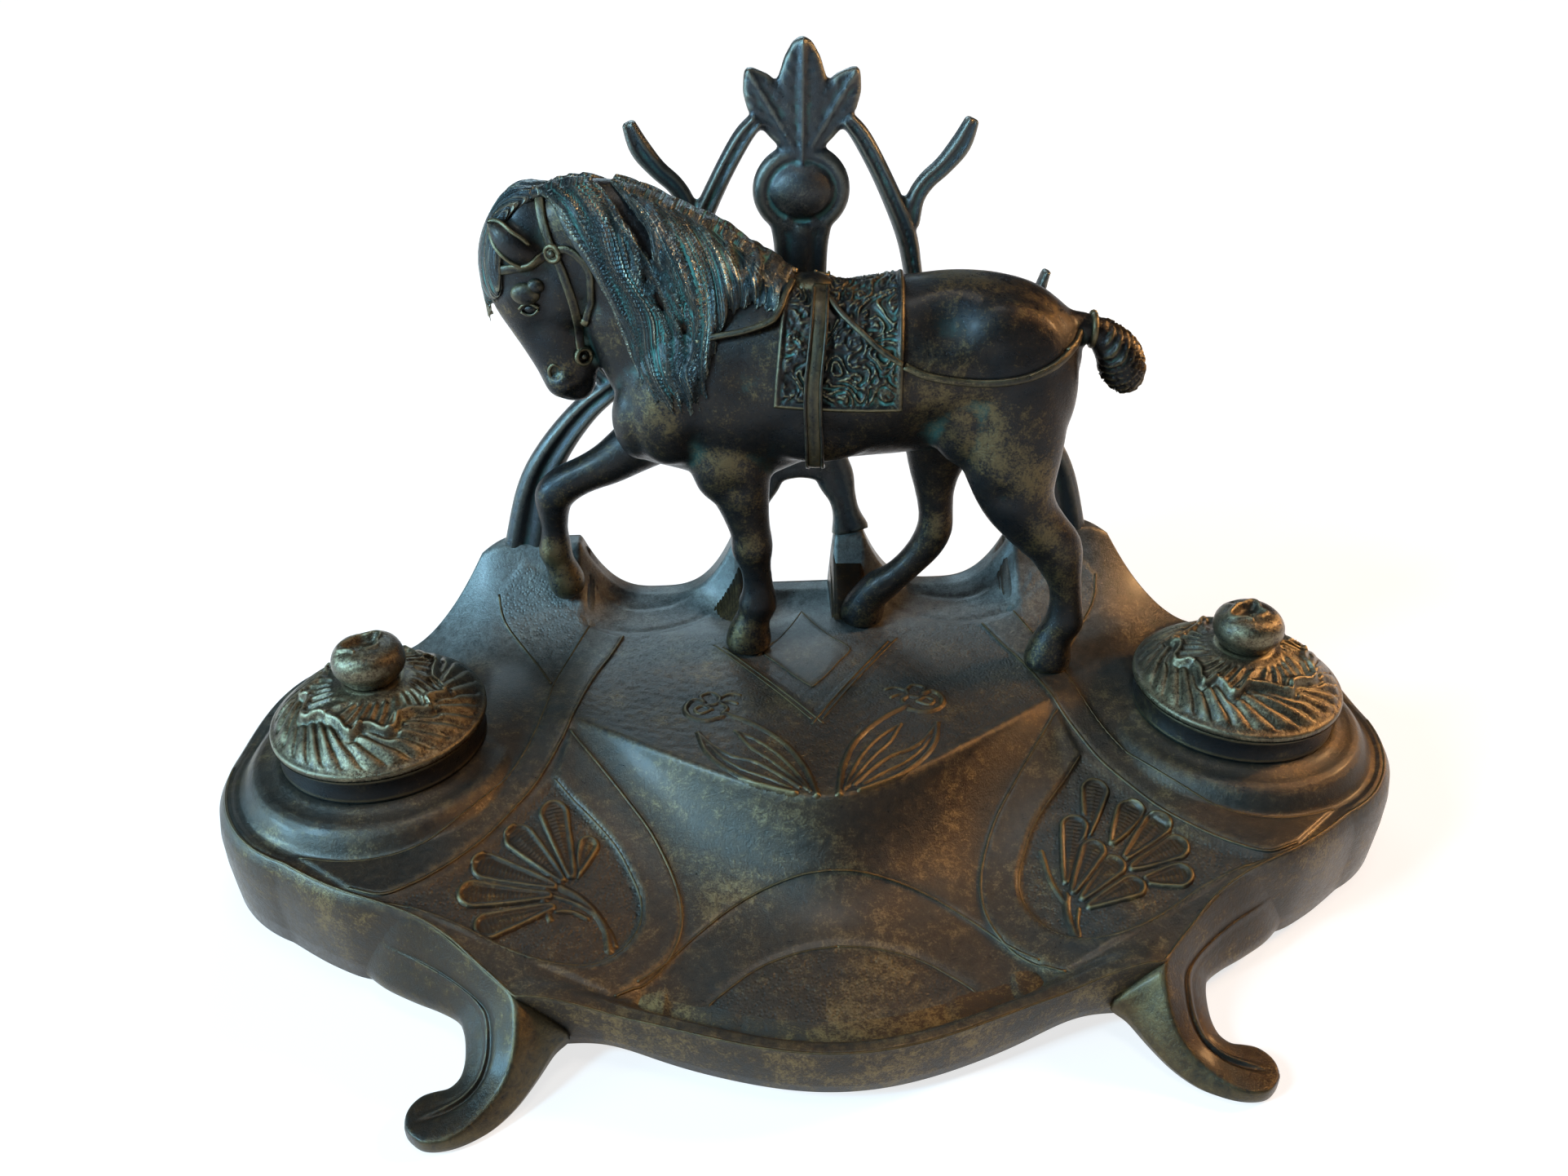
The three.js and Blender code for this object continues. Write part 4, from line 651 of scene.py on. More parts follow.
def patina(name, rub=1.0, mottle=0.5, green=0.4, brown=0.5, stipple=False, bright=BRASS, edge=0.03,
           dark=DARK_PATINA, gloss=0.27, strands=0.0):
    """Cast bronze under a dark patina: brass shows where edges are rubbed and as clustered specks, and
    verdigris stays in the hollows. Rub, mottle, green and brown are from 0, none, upward; edge is how proud
    a place is, in millimetres, before it is rubbed, and strands sets how fine the drawn hair is, whose
    crests rub to brass that also paints the strands' highlights. Marked dust greys the colour and also
    paints a cool sheen."""
    n = Nodes(bpy.data.materials.new(name))
    proud = n.marked("proud")
    worn_place = n.marked("worn")
    cloud, patch, speck = n.noise(48, 3), n.noise(380, 8, 0.78, 0.3), n.noise(1500, 5, 0.7)
    if strands:
        hair = n.add("TexNoise", {"W": n.marked("strand"), "Scale": strands, "Detail": 3.0,
                                  "Roughness": 0.65}, noise_dimensions="1D")
        hair = n.less(hair.outputs["Fac"], 0.5)
        # The drawn hair lifts the strands' crests toward rubbed brass, which is wear and also a painted
        # highlight on each strand, and sinks their grooves toward verdigris
        proud = n.plus(proud, n.times(hair, 1.9))
    rubbed = n.plus(proud, n.times(n.less(patch, 0.5), 0.35))
    rubbed = n.times(n.span(rubbed, edge, edge * 1.6 + 0.16), rub, True)
    zone = n.plus(n.times(cloud, 0.9), n.times(worn_place, 0.27))
    zone = n.plus(zone, n.times(patch, 1.1))
    zone = n.plus(zone, n.times(speck, 0.9))
    worn = n.times(n.span(zone, 1.62 - 0.2 * mottle, 1.86 - 0.2 * mottle), 0.85 * min(mottle * 1.8, 1), True)
    brass_share = n.math("MAXIMUM", rubbed, worn)
    hollow = n.span(n.plus(proud, n.times(n.less(patch, 0.5), 0.4)), -0.06, -0.3)
    green_share = n.times(hollow, n.span(cloud, 0.42, 0.6, 0.1, 1.0))
    green_share = n.times(green_share, green, True)
    tone = n.plus(n.times(cloud, 0.7), n.times(patch, 0.5))
    dark_tone = n.blend(n.times(n.span(tone, 0.42, 0.78), brown, True), dark, BROWN_PATINA)
    colour = n.blend(green_share, n.blend(brass_share, dark_tone, bright), VERDIGRIS)
    # Pale dust, which also paints a cool sheen on the deck: it greys the colour and takes the shine off the
    # metal
    dust = n.marked("dust")
    dust = n.times(dust, n.span(n.plus(patch, n.times(speck, 0.6)), 0.5, 1.0, 0.1, 0.8))
    colour = n.blend(dust, colour, DUST_AND_SHEEN)
    metal = n.times(n.span(brass_share, 0, 1, 0.7, 1.0), n.less(1.0, green_share))
    metal = n.times(metal, n.less(1.0, dust))
    rough = n.plus(n.span(patch, 0.3, 0.7, gloss - 0.04, gloss + 0.18), n.times(green_share, 0.35))
    height = n.plus(n.times(speck, 0.00012), n.times(patch, 0.00022))
    if strands:
        height = n.plus(height, n.times(hair, 0.0022))
    if stipple:
        ground = n.marked("ground")
        punch = n.add("TexVoronoi", {"Vector": n.place(), "Scale": 900.0, "Randomness": 1.0})
        punch = n.times(n.math("MINIMUM", punch.outputs["Distance"], 0.5), n.times(ground, 0.0004))
        height = n.plus(height, punch)
        rough = n.plus(rough, n.times(ground, 0.08))
    bump = n.add("Bump", {"Height": height, "Strength": 1.0, "Distance": 1.0}).outputs["Normal"]
    n.feed(n.shader, {"Base Color": colour, "Metallic": metal, "Roughness": rough, "Normal": bump,
                      "Specular IOR Level": 0.32, "Coat Weight": 0.1, "Coat Roughness": 0.22})
    return n.owner


BASE_DARK = (0.028, 0.028, 0.025, 1)
base_patina = patina("base_patina", rub=0.6, mottle=0.4, green=0.12, brown=0.85, stipple=True, dark=BASE_DARK,
                     gloss=0.29)
for piece in (inkstand_base, scroll_feet):
    piece.data.materials.append(base_patina)

# Chased ornament of the base: the fine raised lines along its bands and edges, a shell in each side panel and
# two iris sprays behind the tray, all cast in one with the base and sharpened with a graver.

# Each raised line and its radius
BEAD_LINES = [
    (BAND_EDGE, 0.5),
    (COVE_EDGE, 0.36),
    (PANEL_OUTER, 0.45),
    (PANEL_INNER, 0.42),
    (LOW_PANEL, 0.4),
    (BACK_LEAF, 0.42),
    (DIAMOND, 0.3),
    (CHEVRON + (1.6, 1), 0.36),
    (CHEVRON - (1.6, 1), 0.42),
    (OVAL, 0.34)]
# Petals of the left and right shell: tip, root and half width; then the shells' and irises' raised lines
SHELLS = {
    -1: [
        ((65.5, -31), (69, -43), 2.9),
        ((93.5, -62), (75, -53.5), 4),
        ((99, -51.5), (76, -50), 4.2),
        ((96.5, -41.5), (75, -47), 4.2),
        ((88, -30), (73, -44.5), 4.3),
        ((77.5, -21), (70.5, -43), 4.1)],
    1: [
        ((80, -22), (73.5, -38), 4.1),
        ((97, -56), (84, -55.6), 4),
        ((89, -31), (79.5, -42), 4.2),
        ((98.5, -46), (82.5, -51), 4.2),
        ((95.5, -37), (81.5, -47.5), 4.1),
        ((84, -56), (68.5, -60), 3.6),
        ((80, -47.5), (67.5, -57), 3.7),
        ((71.5, -32), (64.5, -51), 4),
        ((75.5, -41), (65.5, -54.5), 3.6)]}
SHELL_LINES = {
    -1: [
        ([(76, -45), (77, -51), (75, -57)], 0.7),
        ([(73, -47), (68, -49.5), (63.5, -53.5), (60.5, -58.5), (59.5, -64)], 0.9),
        ([(74.5, -50), (68.5, -51.5), (63, -54.5), (59.6, -58.5), (58, -62.5)], 0.6),
        ([(73.5, -54.5), (69.5, -54), (65.5, -55.5)], 0.6)],
    1: [
        ([(63.5, -55), (62.2, -61), (62.8, -68)], 0.8),
        ([(65.5, -60), (64, -64), (63.6, -68)], 0.5),
        ([(59.8, -41), (60.4, -50), (62.4, -57)], 0.6)]}
IRIS_LINES = [
    ([(3, -35.5), (5, -25), (9, -15), (14, -8), (21, -1.5), (27.5, 2.6)], 0.75),
    ([(4.6, -34), (8, -25.5), (12.5, -17.5), (18, -11), (24.5, -6)], 0.5),
    ([(5.5, -33), (10.5, -25.5), (15.5, -19), (20, -14), (24.5, -6)], 0.5),
    ([(9, -34), (14.5, -31.6), (20.5, -28.6), (28.2, -22), (33, -14.6), (35.2, -6.4)], 0.75),
    ([(7.5, -32), (13, -26), (19, -20.5), (25.5, -17.5), (31, -12.6), (35.2, -6.4)], 0.6),
    ([(10, -32), (16, -27.6), (22.6, -23.6), (28, -18.6), (32.4, -12.4)], 0.45),
    ([(28, 1), (33, -0.6), (37.6, 1.6), (39, 6), (36.6, 9.8), (33.4, 8.4)], 0.75),
    ([(33.4, 8.4), (34.4, 11.4), (31, 13), (28.6, 10.4), (29.6, 7.4), (32.6, 6.6)], 0.6),
    ([(28.6, 10.4), (25.4, 12), (22.4, 11.4)], 0.5),
    ([(29.4, 8), (26, 8.4), (23.4, 7.2)], 0.5),
    ([(31, 4.8), (34.4, 2.8), (36.2, 4.8), (34, 6.6), (31, 4.8)], 0.5),
    ([(28, 2.4), (26.4, 5), (28.6, 7.6)], 0.6)]


def petals(x, y, forms):
    """Height of teardrop petals with a raised outline and a ribbed, hollow middle; later ones lie on top."""
    rib_pitch = 1.15
    high = np.zeros(x.shape)
    for (tx, ty), (bx, by), wide in forms:
        length = np.hypot(tx - bx, ty - by)
        ux, uy = (tx - bx) / length, (ty - by) / length
        along = (x - bx) * ux + (y - by) * uy
        share = np.clip(along / (length - wide), 0, 1)
        away = np.hypot(x - bx - ux * share * (length - wide), y - by - uy * share * (length - wide))
        within = wide * (0.3 + 0.7 * share ** 0.8) - away
        ribs = 0.5 + 0.5 * np.sin(along * 2 * pi / rib_pitch)
        shape = 0.6 * smooth(-0.5, 0.4, within) + 0.3 * np.exp(-((within - 0.5) / 0.5) ** 2)
        midrib = 0.16 * np.exp(-(away / 0.5) ** 2)
        shape -= smooth(0.9, 1.7, within) * (0.4 - 0.22 * ribs * smooth(1.4, 1.9, within) - midrib)
        high = mix(high, shape, smooth(-0.9, -0.3, within))
    return high


def raised_lines(x, y, lines):
    """Height of rounded lines, each given by its points and its half width."""
    high = np.zeros(x.shape)
    for points, wide in lines:
        away = line_distance(x, y, curve_through(points, 1.0))
        high = np.maximum(high, (0.35 + 0.45 * wide) * np.exp(-(away / wide) ** 2))
    return high


def relief_piece(name, low, high, fine, relief):
    """A thin fine skin over part of the base that comes out of it only where the relief stands up."""
    bm = bmesh.new()
    steps = [int((high[k] - low[k]) / fine) for k in (0, 1)]
    for under in (False, True):
        made = bmesh.ops.create_grid(bm, x_segments=steps[0], y_segments=steps[1], size=1)["verts"]
        uv = np.array([v.co[:2] for v in made])
        x, y = (mix(low[k], high[k], (uv[:, k] + 1) / 2) for k in (0, 1))
        beside_feet = np.interp(np.abs(x), *np.array(FRONT_POINTS).T)
        y = np.maximum(y, np.where(np.abs(x) < LIP_HALF, front_line(np.abs(x)), beside_feet) + 1.5)
        inward = np.minimum(np.minimum(x - low[0], high[0] - x), np.minimum(y - low[1], high[1] - y))
        stands = 0 if under else relief(x, y) * smooth(0, 1.5, inward)
        sunk = 0.5 * (1 - smooth(0.0, 0.1, stands)) + under * np.minimum(inward, 0.6)
        z = edge_height(x, y) + stands - sunk
        for vert, co in zip(made, np.stack((x, y, z), 1)):
            vert.co = co
    piece = finish_piece(name, bm)
    mark_proud(piece, 6, 0.5)
    return piece


def shell_relief(side):
    return lambda x, y: np.maximum(petals(side * x, y, SHELLS[side]),
                                   raised_lines(side * x, y, SHELL_LINES[side]))


FINE = 0.36
relief_pieces = [relief_piece("left_shell", (-104, -70), (-55, -14), FINE, shell_relief(-1)),
                 relief_piece("right_shell", (55, -72), (103, -14), FINE, shell_relief(1)),
                 relief_piece("iris_sprays", (-42, -37), (42, 16), FINE,
                              lambda x, y: raised_lines(np.abs(x), y, IRIS_LINES))]
beads_bm = bmesh.new()
for side in (-1, 1):
    for line, radius in BEAD_LINES:
        heights = edge_height(line[:, 0], line[:, 1])
        bead = [(side * x, y, z + 0.04, radius, radius * 0.62) for (x, y), z in zip(line, heights)]
        tube(beads_bm, bead, around=8, step=1.4, side=(0, 0, 1))
    # A bead also runs along the brim of the top face; rubbed bright like the other raised lines, it paints
    # the highlight along that edge
    brim = [plan_column(np.array([side * u]))[:2] for u in np.linspace(0.0, 0.9999, 150)]
    brim = [(x[0], y[0], edge_height(x, y)[0] + 0.02, 0.4, 0.3) for x, y in brim]
    tube(beads_bm, brim, around=8, step=1.6, side=(0, 0, 1))
raised_beads = finish_piece("raised_beads", beads_bm)
# All the beads are given one small standing-out, so that they rub to pale brass along their whole length:
# partly wear, partly a painted highlight where their edges catch the light
store(raised_beads, "proud", np.full(len(raised_beads.data.vertices), 0.1))
for piece in (*relief_pieces, raised_beads):
    piece.data.materials.append(base_patina)

# Well collars, ink liners and lids: each well has a turned bronze collar let into the base, a loose glazed
# pot hanging in it by its flange, and a domed lid cast with swirling leaf flutes under a screwed bud knob.
COLLAR_TURN = [
    (24, 18), (26.9, 18), (26.9, 42.3), (29, 42.3), (29, 43), (28.7, 44.2), (28.6, 46.5), (28.7, 48.6),
    (28.9, 49.4), (28.6, 50), (24.6, 50), (24, 49.6), (24, 18)]
LINER_TURN = [
    (0, 16.6), (20, 16.6), (22.6, 18.6), (23.1, 22), (23.1, 49.9), (25.6, 50.3), (26, 50.9), (26, 51.8),
    (25.4, 52.3), (22.2, 52.3), (21.2, 51.6), (20.9, 50), (20.9, 24), (19, 20.4), (15, 19.2), (0, 19)]
LID_CROWN = [
    (30, 51.0), (30, 51.9), (29.6, 52.5), (28.9, 52.9), (28.2, 53.5), (26.4, 55.2), (23.6, 57.2),
    (20.4, 59.2), (16.6, 61), (13, 62.4), (10.6, 63.2), (8.8, 63.7), (8, 64.1)]
# Inside of a lid from the hole for its knob's screw to the rim: share of the way, radius and height
LID_INSIDE = [
    (0, 0, 64.1), (0.06, 3.2, 64.1), (0.3, 3.2, 61), (0.6, 10, 60), (0.7, 20, 56.2), (0.76, 24.8, 53),
    (0.8, 26.6, 52.6), (0.9, 27.4, 50.5), (1, 30, 50.5)]
BUD = [
    (4, 64.6), (7.2, 64.6), (7.9, 65.4), (9.1, 67), (9.9, 69), (9.9, 71), (9.5, 72.6), (8.4, 74.3),
    (6.6, 75.4), (4.4, 75.7), (2.2, 75.3), (0.4, 75.2)]
BUD_POLE = (0.05, 74.6)
LID_TURNS = {-1: 0.35, 1: 2.3}


def swept(bm, centre, around, rows, place, start=0.0):
    """A skin round a well's axis; place gives radius and height from the angle and the share of the rows."""
    for vert in bmesh.ops.create_grid(bm, x_segments=around, y_segments=rows, size=1)["verts"]:
        angle = (vert.co.x + 1) * pi + start
        radius, height = place(angle, (vert.co.y + 1) / 2)
        vert.co = (centre + radius * cos(angle), radius * sin(angle), height)


def turned(name, profile, centre, body):
    """A turned piece: the profile of radius and height swept round the well's axis."""
    bm = bmesh.new()
    rows = len(profile) - 1
    swept(bm, centre, 96, rows, lambda angle, share: profile[round(share * rows)])
    return finish_piece(name, bm, body)


LOBES, LOBE_REACH = 10, (0.3, -0.8, 0.6, 1.1, -0.5, 0.2, 0.9, -0.4, 0.5, -0.2)


def lid_relief(radius, angle):
    """Two rings of flutes that slant opposite ways, parted by a ragged edge of waves that curl over."""
    turn = (angle * LOBES / (2 * pi) + 0.16 * np.sin(2 * angle + 0.7) + 0.1 * np.sin(5 * angle)) % LOBES
    lobe, number = turn % 1, int(turn) % LOBES
    reach = mix(LOBE_REACH[number], LOBE_REACH[(number + 1) % LOBES], smooth(0.5, 1, lobe))
    edge = 17.2 + reach + 3 * (0.5 - 0.5 * np.cos(2 * pi * lobe ** 1.6))
    out = np.clip((radius - edge) / (28.2 - edge), 0, 1)
    outer = smooth(edge + 0.3, edge + 1.6, radius) * (1 - smooth(27.2, 28.5, radius))
    swirl = 0.85 * (radius - 22) + 1.3 * np.sin(out * pi) - 0.5 * np.sin(4 * angle)
    flute = np.abs(np.sin(15 * angle - swirl))
    deep = 0.8 + 0.2 * np.sin(7 * angle + 1.2)
    height = outer * (1.5 * flute ** 0.8 * deep * (0.45 + 0.55 * smooth(0, 0.4, out)) - 0.85)
    gouge = ((turn + 0.055 * (radius - 14)) * 3) % 1
    almond = np.sin(pi * gouge) ** 1.3 * smooth(10.6, 12.6, radius)
    almond *= 1 - smooth(edge - 2.2, edge - 0.7, radius)
    height -= 0.95 * almond * (0.35 + 0.65 * np.sin(pi * lobe) ** 0.5)
    height += 0.5 * smooth(11, 13, radius) * (1 - smooth(edge - 0.2, edge + 0.9, radius))
    height += (0.6 + 0.5 * lobe) * np.exp(-((radius - edge) / 0.85) ** 2)
    height -= 0.5 * np.exp(-((radius - edge - 1.7) / 0.8) ** 2)
    across = (lobe - 0.76) * 2 * pi / LOBES * radius
    curl = np.hypot(across, radius - edge + 0.9)
    return height + 0.6 * np.exp(-((curl - 1.5) / 0.6) ** 2) - 0.6 * np.exp(-(curl / 0.8) ** 2)


def lid_place(side, crown, run):
    """The lid's fluted crown takes the first rows and its inside the rest."""
    crown_share = 0.75
    shares, radii, heights = zip(*LID_INSIDE)

    def place(angle, share):
        if share > crown_share:
            inside_share = (share - crown_share) / (1 - crown_share)
            return [np.interp(inside_share, shares, column) for column in (radii, heights)]
        radius, height = (np.interp(share / crown_share * run[-1], run, crown[:, k]) for k in (0, 1))
        return radius, height + lid_relief(radius, angle + LID_TURNS[side]) * smooth(29.6, 28.4, radius)
    return place


def bud_place(bud):
    """A round bud whose top is a spiral of overlapping petals with one deep cleft."""
    def place(angle, share):
        row = round(share * len(bud))
        radius, height = bud[row] if row < len(bud) else BUD_POLE
        top = smooth(9.4, 7, radius) if height > 71 else 0
        ragged = radius * (1 + 0.16 * sin(3 * angle + 1) + 0.1 * sin(5 * angle))
        spiral = 2.6 + 3.6 * ((angle / (2 * pi) + 0.3) % 1)
        petal = 0.8 * np.exp(-((ragged - spiral) / 0.75) ** 2)
        height += top * (petal - 1.3 * (1 - smooth(spiral - 2.4, spiral - 0.6, ragged)))
        height -= 1.1 * top * np.exp(-((((angle + 1.2) % (2 * pi)) - pi) / 0.3) ** 2) * smooth(4, 6, ragged)
        return radius * (1 + 0.014 * sin(3 * angle + height * 0.4)), height
    return place


lid_patina = patina("lid_patina", rub=0.75, mottle=1.0, green=0.15, brown=0.9, bright=(0.25, 0.21, 0.13, 1),
                    edge=0.02, dark=(0.05, 0.045, 0.034, 1), gloss=0.24)
collar_patina = patina("collar_patina", rub=0.25, mottle=0.2, green=0.1, brown=0.3, edge=0.1)
CREAM, STAINED_CREAM, CRACK = (0.66, 0.63, 0.56, 1), (0.56, 0.52, 0.44, 1), (0.33, 0.28, 0.2, 1)
glaze = Nodes(bpy.data.materials.new("white_glaze"))
crackle = glaze.add("TexVoronoi", {"Vector": glaze.place(), "Scale": 260.0}, feature="DISTANCE_TO_EDGE")
cream = glaze.blend(glaze.span(glaze.noise(60, 4), 0.4, 0.65), CREAM, STAINED_CREAM)
crackled = glaze.blend(glaze.span(crackle.outputs["Distance"], 0, 0.03), CRACK, cream)
glaze.feed(glaze.shader, {"Base Color": crackled, "Roughness": 0.12, "Coat Weight": 0.6,
                          "Coat Roughness": 0.05})
for side, name in ((-1, "left"), (1, "right")):
    centre = side * WELL_ACROSS
    collar = turned(name + "_collar", COLLAR_TURN, centre, "base")
    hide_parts(name + "_well_collar")
    mark_proud(collar, 3)
    collar.data.materials.append(collar_patina)
    liner = turned(name + "_pot", LINER_TURN, centre, name + "_liner")
    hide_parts(name + "_ink_liner")
    liner.data.materials.append(glaze.owner)
    lid_bm = bmesh.new()
    crown = curve_through(LID_CROWN, 0.45)
    run = np.cumsum(np.r_[0, np.hypot(*np.diff(crown, axis=0).T)])
    swept(lid_bm, centre, 400, 92, lid_place(side, crown, run))
    lid = finish_piece(name + "_lid_dome", lid_bm, name + "_cover")
    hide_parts(name + "_lid")
    knob_bm = bmesh.new()
    bud = curve_through(BUD, 0.4)
    swept(knob_bm, centre, 96, len(bud), bud_place(bud), 2.2 * side)
    rim = [e for e in knob_bm.edges if e.is_boundary and max(v.co.z for v in e.verts) < BUD[0][1] + 0.1]
    bmesh.ops.contextual_create(knob_bm, geom=rim)
    knob = finish_piece(name + "_bud_knob", knob_bm, name + "_cover")
    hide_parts(name + "_lid_knob")
    for piece in (lid, knob):
        mark_proud(piece, 4)
        piece.data.materials.append(lid_patina)

# Back gallery: an open bronze casting of whiplash bars in one plane, with horns, a ring and ball, and a
# three-leaf finial; cast flat, chased, and screwed to the back of the base through four tongues.
RAIL_Y = 70.0
SIDE_BAR = [
    (92.1, 63.8, 7), (86.1, 86.1, 6.2), (79.1, 100.1, 5.2), (67.9, 114, 4.2), (56, 123.7, 3.4),
    (43.4, 134.2, 3.1), (35.7, 146, 2.8), (33.6, 157.2, 2.8), (30.8, 168.3, 3.1), (23.8, 183, 2.8),
    (17.2, 194.4, 2.7), (12.6, 199.8, 2.2)]
HORN = [
    (32.6, 170, 2.4), (33.4, 177.4, 2.6), (36.4, 182.4, 2.6), (41, 186.6, 2.7), (45.6, 192.4, 3),
    (48.6, 199.4, 1.9)]
TINE = [(58.1, 121.7, 2.8), (66.5, 132.1, 2.7), (71.4, 143.3, 2.2), (74.9, 155.8, 1.1)]
PILLAR = [
    (17.5, 68.3, 6.5), (15.9, 75, 4.6), (14.4, 81, 4.6), (12, 88, 6.2), (9.6, 96, 5.8), (7.2, 110, 4.6),
    (5.2, 127, 3.8), (4.3, 146, 3.6), (4, 160, 3.8), (4.3, 167, 4), (5.6, 172.4, 3.8)]


def rail(bm, side, places, thick, groove):
    """A squared bar of the gallery through places of across, height and half width."""
    stations = [(side * x, RAIL_Y, z, half, thick / 2) for x, z, half in places]
    tube(bm, stations, around=28, step=1.5, square=0.55, groove=groove)


def leaf_blade(bm, outline, root, tip, thick, rows):
    """A leaf with a raised midrib and slanting veins: half widths along the line from its root to its tip."""
    vein_pitch = 4.6
    ahead = np.array(tip, float) - root
    length = np.hypot(*ahead)
    ahead /= length
    for vert in bmesh.ops.create_grid(bm, x_segments=rows, y_segments=24, size=1)["verts"]:
        along, turn = (vert.co.x + 1) / 2, (vert.co.y + 1) * pi
        half = np.interp(along, *zip(*outline))
        if vert.co.x < -0.999 or vert.co.x > 0.999:
            half = 0
        across = half * cos(turn)
        rib = 0.8 * np.exp(-(across / 0.6) ** 2) - 0.5 * np.exp(-((abs(across) - 1.5) / 0.8) ** 2)
        from_vein = ((along * length - abs(across) * 1.2) / vein_pitch) % 1 - 0.5
        vein = 0.55 * np.exp(-(from_vein / 0.11) ** 2) * smooth(0.6, 1.2, abs(across))
        depth = thick * np.sign(sin(turn)) * abs(sin(turn)) ** 0.4
        depth += (rib + vein) * (-1 if depth < 0 else 0) * min(1, half / 2)
        x, z = np.array(root) + ahead * along * length + np.array([-ahead[1], ahead[0]]) * across
        vert.co = (x, RAIL_Y + depth - 0.5, z)


PILLAR_SPRING = [(14, 72, 2), (13.8, 78, 2.2), (11.4, 85.4, 2.4), (6.4, 90.2, 2.6), (-0.4, 91.8, 2.8)]
PILLAR_CROWN = [(0, 108, 3), (0, 99, 5.5), (0, 92, 7)]
PILLAR_RIDGE = [(0, 140, 1.2), (0, 148, 2), (0, 158, 2.6), (0, 166, 3), (0, 171, 2)]
FINIAL_STALK = [(0, 188, 8.5), (0, 192, 6.6), (0, 196, 6), (0, 199, 6.4), (0, 204, 9)]
MIDDLE_LEAF = [(0, 2), (0.1, 3.2), (0.3, 5.4), (0.52, 6.9), (0.7, 6.7), (0.85, 5), (0.95, 2.9), (1, 1.2)]
SIDE_LEAF = [(0, 2.2), (0.2, 3.8), (0.45, 5.3), (0.65, 5.7), (0.82, 4.3), (0.93, 2.2), (1, 0.8)]
RING_HEIGHT, RING_ACROSS, RING_UP = 180.4, 11.7, 10.6
DISC_RADIUS, DISC_THICK, BALL_RADIUS, BALL_STRETCH = 11.5, 2.4, 9.6, (1.02, 0.62, 0.85)


def put(bm, verts, stretch=(1, 1, 1), turn=Matrix.Identity(3), place=(0, 0, 0)):
    """Stretches, turns and moves newly made vertices."""
    bmesh.ops.scale(bm, verts=verts, vec=stretch)
    bmesh.ops.rotate(bm, verts=verts, matrix=turn)
    bmesh.ops.translate(bm, verts=verts, vec=place)


def fuse(piece, voxel, easing):
    """Fuses a casting's closed forms into one skin and eases it."""
    fused = piece.modifiers.new("fused", "REMESH")
    fused.mode, fused.voxel_size = "VOXEL", voxel
    eased = piece.modifiers.new("eased", "SMOOTH")
    eased.factor, eased.iterations = 0.5, easing
    applied(piece)


gallery_bm = bmesh.new()
for side in (-1, 1):
    for places, thick, groove in ((SIDE_BAR, 6, 0.3), (HORN, 4.6, 0.3), (TINE, 4.6, 0.3), (PILLAR, 5.6, 0.12),
                                  (PILLAR_SPRING, 5.2, 0)):
        rail(gallery_bm, side, places, thick, groove)
for places, thick in ((PILLAR_CROWN, 4.4), (PILLAR_RIDGE, 7.4), (FINIAL_STALK, 5)):
    rail(gallery_bm, 1, places, thick, 0)
ring = [(RING_ACROSS * cos(a), RAIL_Y, RING_HEIGHT + RING_UP * sin(a), 2.5, 3)
        for a in np.linspace(0, 2 * pi, 33)]
tube(gallery_bm, ring, around=16, step=1.2)
disc = bmesh.ops.create_cone(gallery_bm, cap_ends=True, segments=48, radius1=DISC_RADIUS, radius2=DISC_RADIUS,
                             depth=DISC_THICK)["verts"]
put(gallery_bm, disc, turn=Matrix.Rotation(pi / 2, 3, "X"), place=(0, RAIL_Y + 1.6, RING_HEIGHT))
ball = bmesh.ops.create_uvsphere(gallery_bm, u_segments=40, v_segments=24, radius=BALL_RADIUS)["verts"]
put(gallery_bm, ball, stretch=BALL_STRETCH, place=(0, RAIL_Y - 0.4, RING_HEIGHT + 0.2))
leaf_blade(gallery_bm, MIDDLE_LEAF, (0, 187), (0, 221), 2.3, 40)
for side in (-1, 1):
    leaf_blade(gallery_bm, SIDE_LEAF, (side * 1.5, 191), (side * 15.4, 213.2), 2.0, 30)
gallery_casting = finish_piece("gallery_casting", gallery_bm)
fuse(gallery_casting, 0.00075, 3)
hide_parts("back_gallery")
mark_proud(gallery_casting)
gallery_patina = patina("gallery_patina", rub=0.5, mottle=0.3, green=0.5, brown=0.3, edge=0.1,
                        bright=(0.24, 0.23, 0.18, 1), dark=(0.048, 0.058, 0.066, 1))
gallery_casting.data.materials.append(gallery_patina)

# Draught horse: cast in bronze with its bridle, mane and saddle cloth, the raised foreleg and the tail cast
# apart and pinned in, chased, patinated, and held to the deck by studs through its hooves.
HORSE_PLACE = Matrix.Translation((12, 42, DECK + 0.3)) @ Matrix.Rotation(radians(-7), 4, "Z")
TRUNK = [
    (-68, 0, 79, 5, 5), (-66, 0, 79, 12, 10), (-61, 0, 79.6, 18.5, 13.4), (-50.4, 0, 82.8, 25, 16.8),
    (-34.8, 0, 86.5, 29.5, 19), (-18, 0, 90.6, 27.6, 20), (0, 0, 91.2, 25.2, 20.8), (18, 0, 94, 25.6, 20.4),
    (31, 0, 97.4, 23.8, 20), (44, 0, 98.6, 21, 18.8), (55, 0, 97.8, 16.4, 16), (61.5, 0, 97.2, 11, 11),
    (65, 0, 97, 4.5, 5)]
NECK = [
    (-34, 0, 90, 33, 15.6), (-46, 0, 103, 30, 14), (-57.5, 0, 116, 23.6, 12.4), (-68, 0, 125.6, 18.4, 11),
    (-79, 0, 128.8, 15.4, 9.6), (-84, 0, 129, 11, 8)]
CREST = [
    (-86, 0, 138.6, 2.6, 2.6), (-77.5, 0, 141, 3, 3), (-66, 0, 141.4, 3.2, 3.2), (-57, 0, 138.2, 3.4, 3.4),
    (-47, 0, 133.4, 3.4, 3.4), (-36, 0, 127.6, 3.2, 3.2), (-26, 0, 121.4, 3, 3), (-17, 0, 115, 2.4, 2.4)]
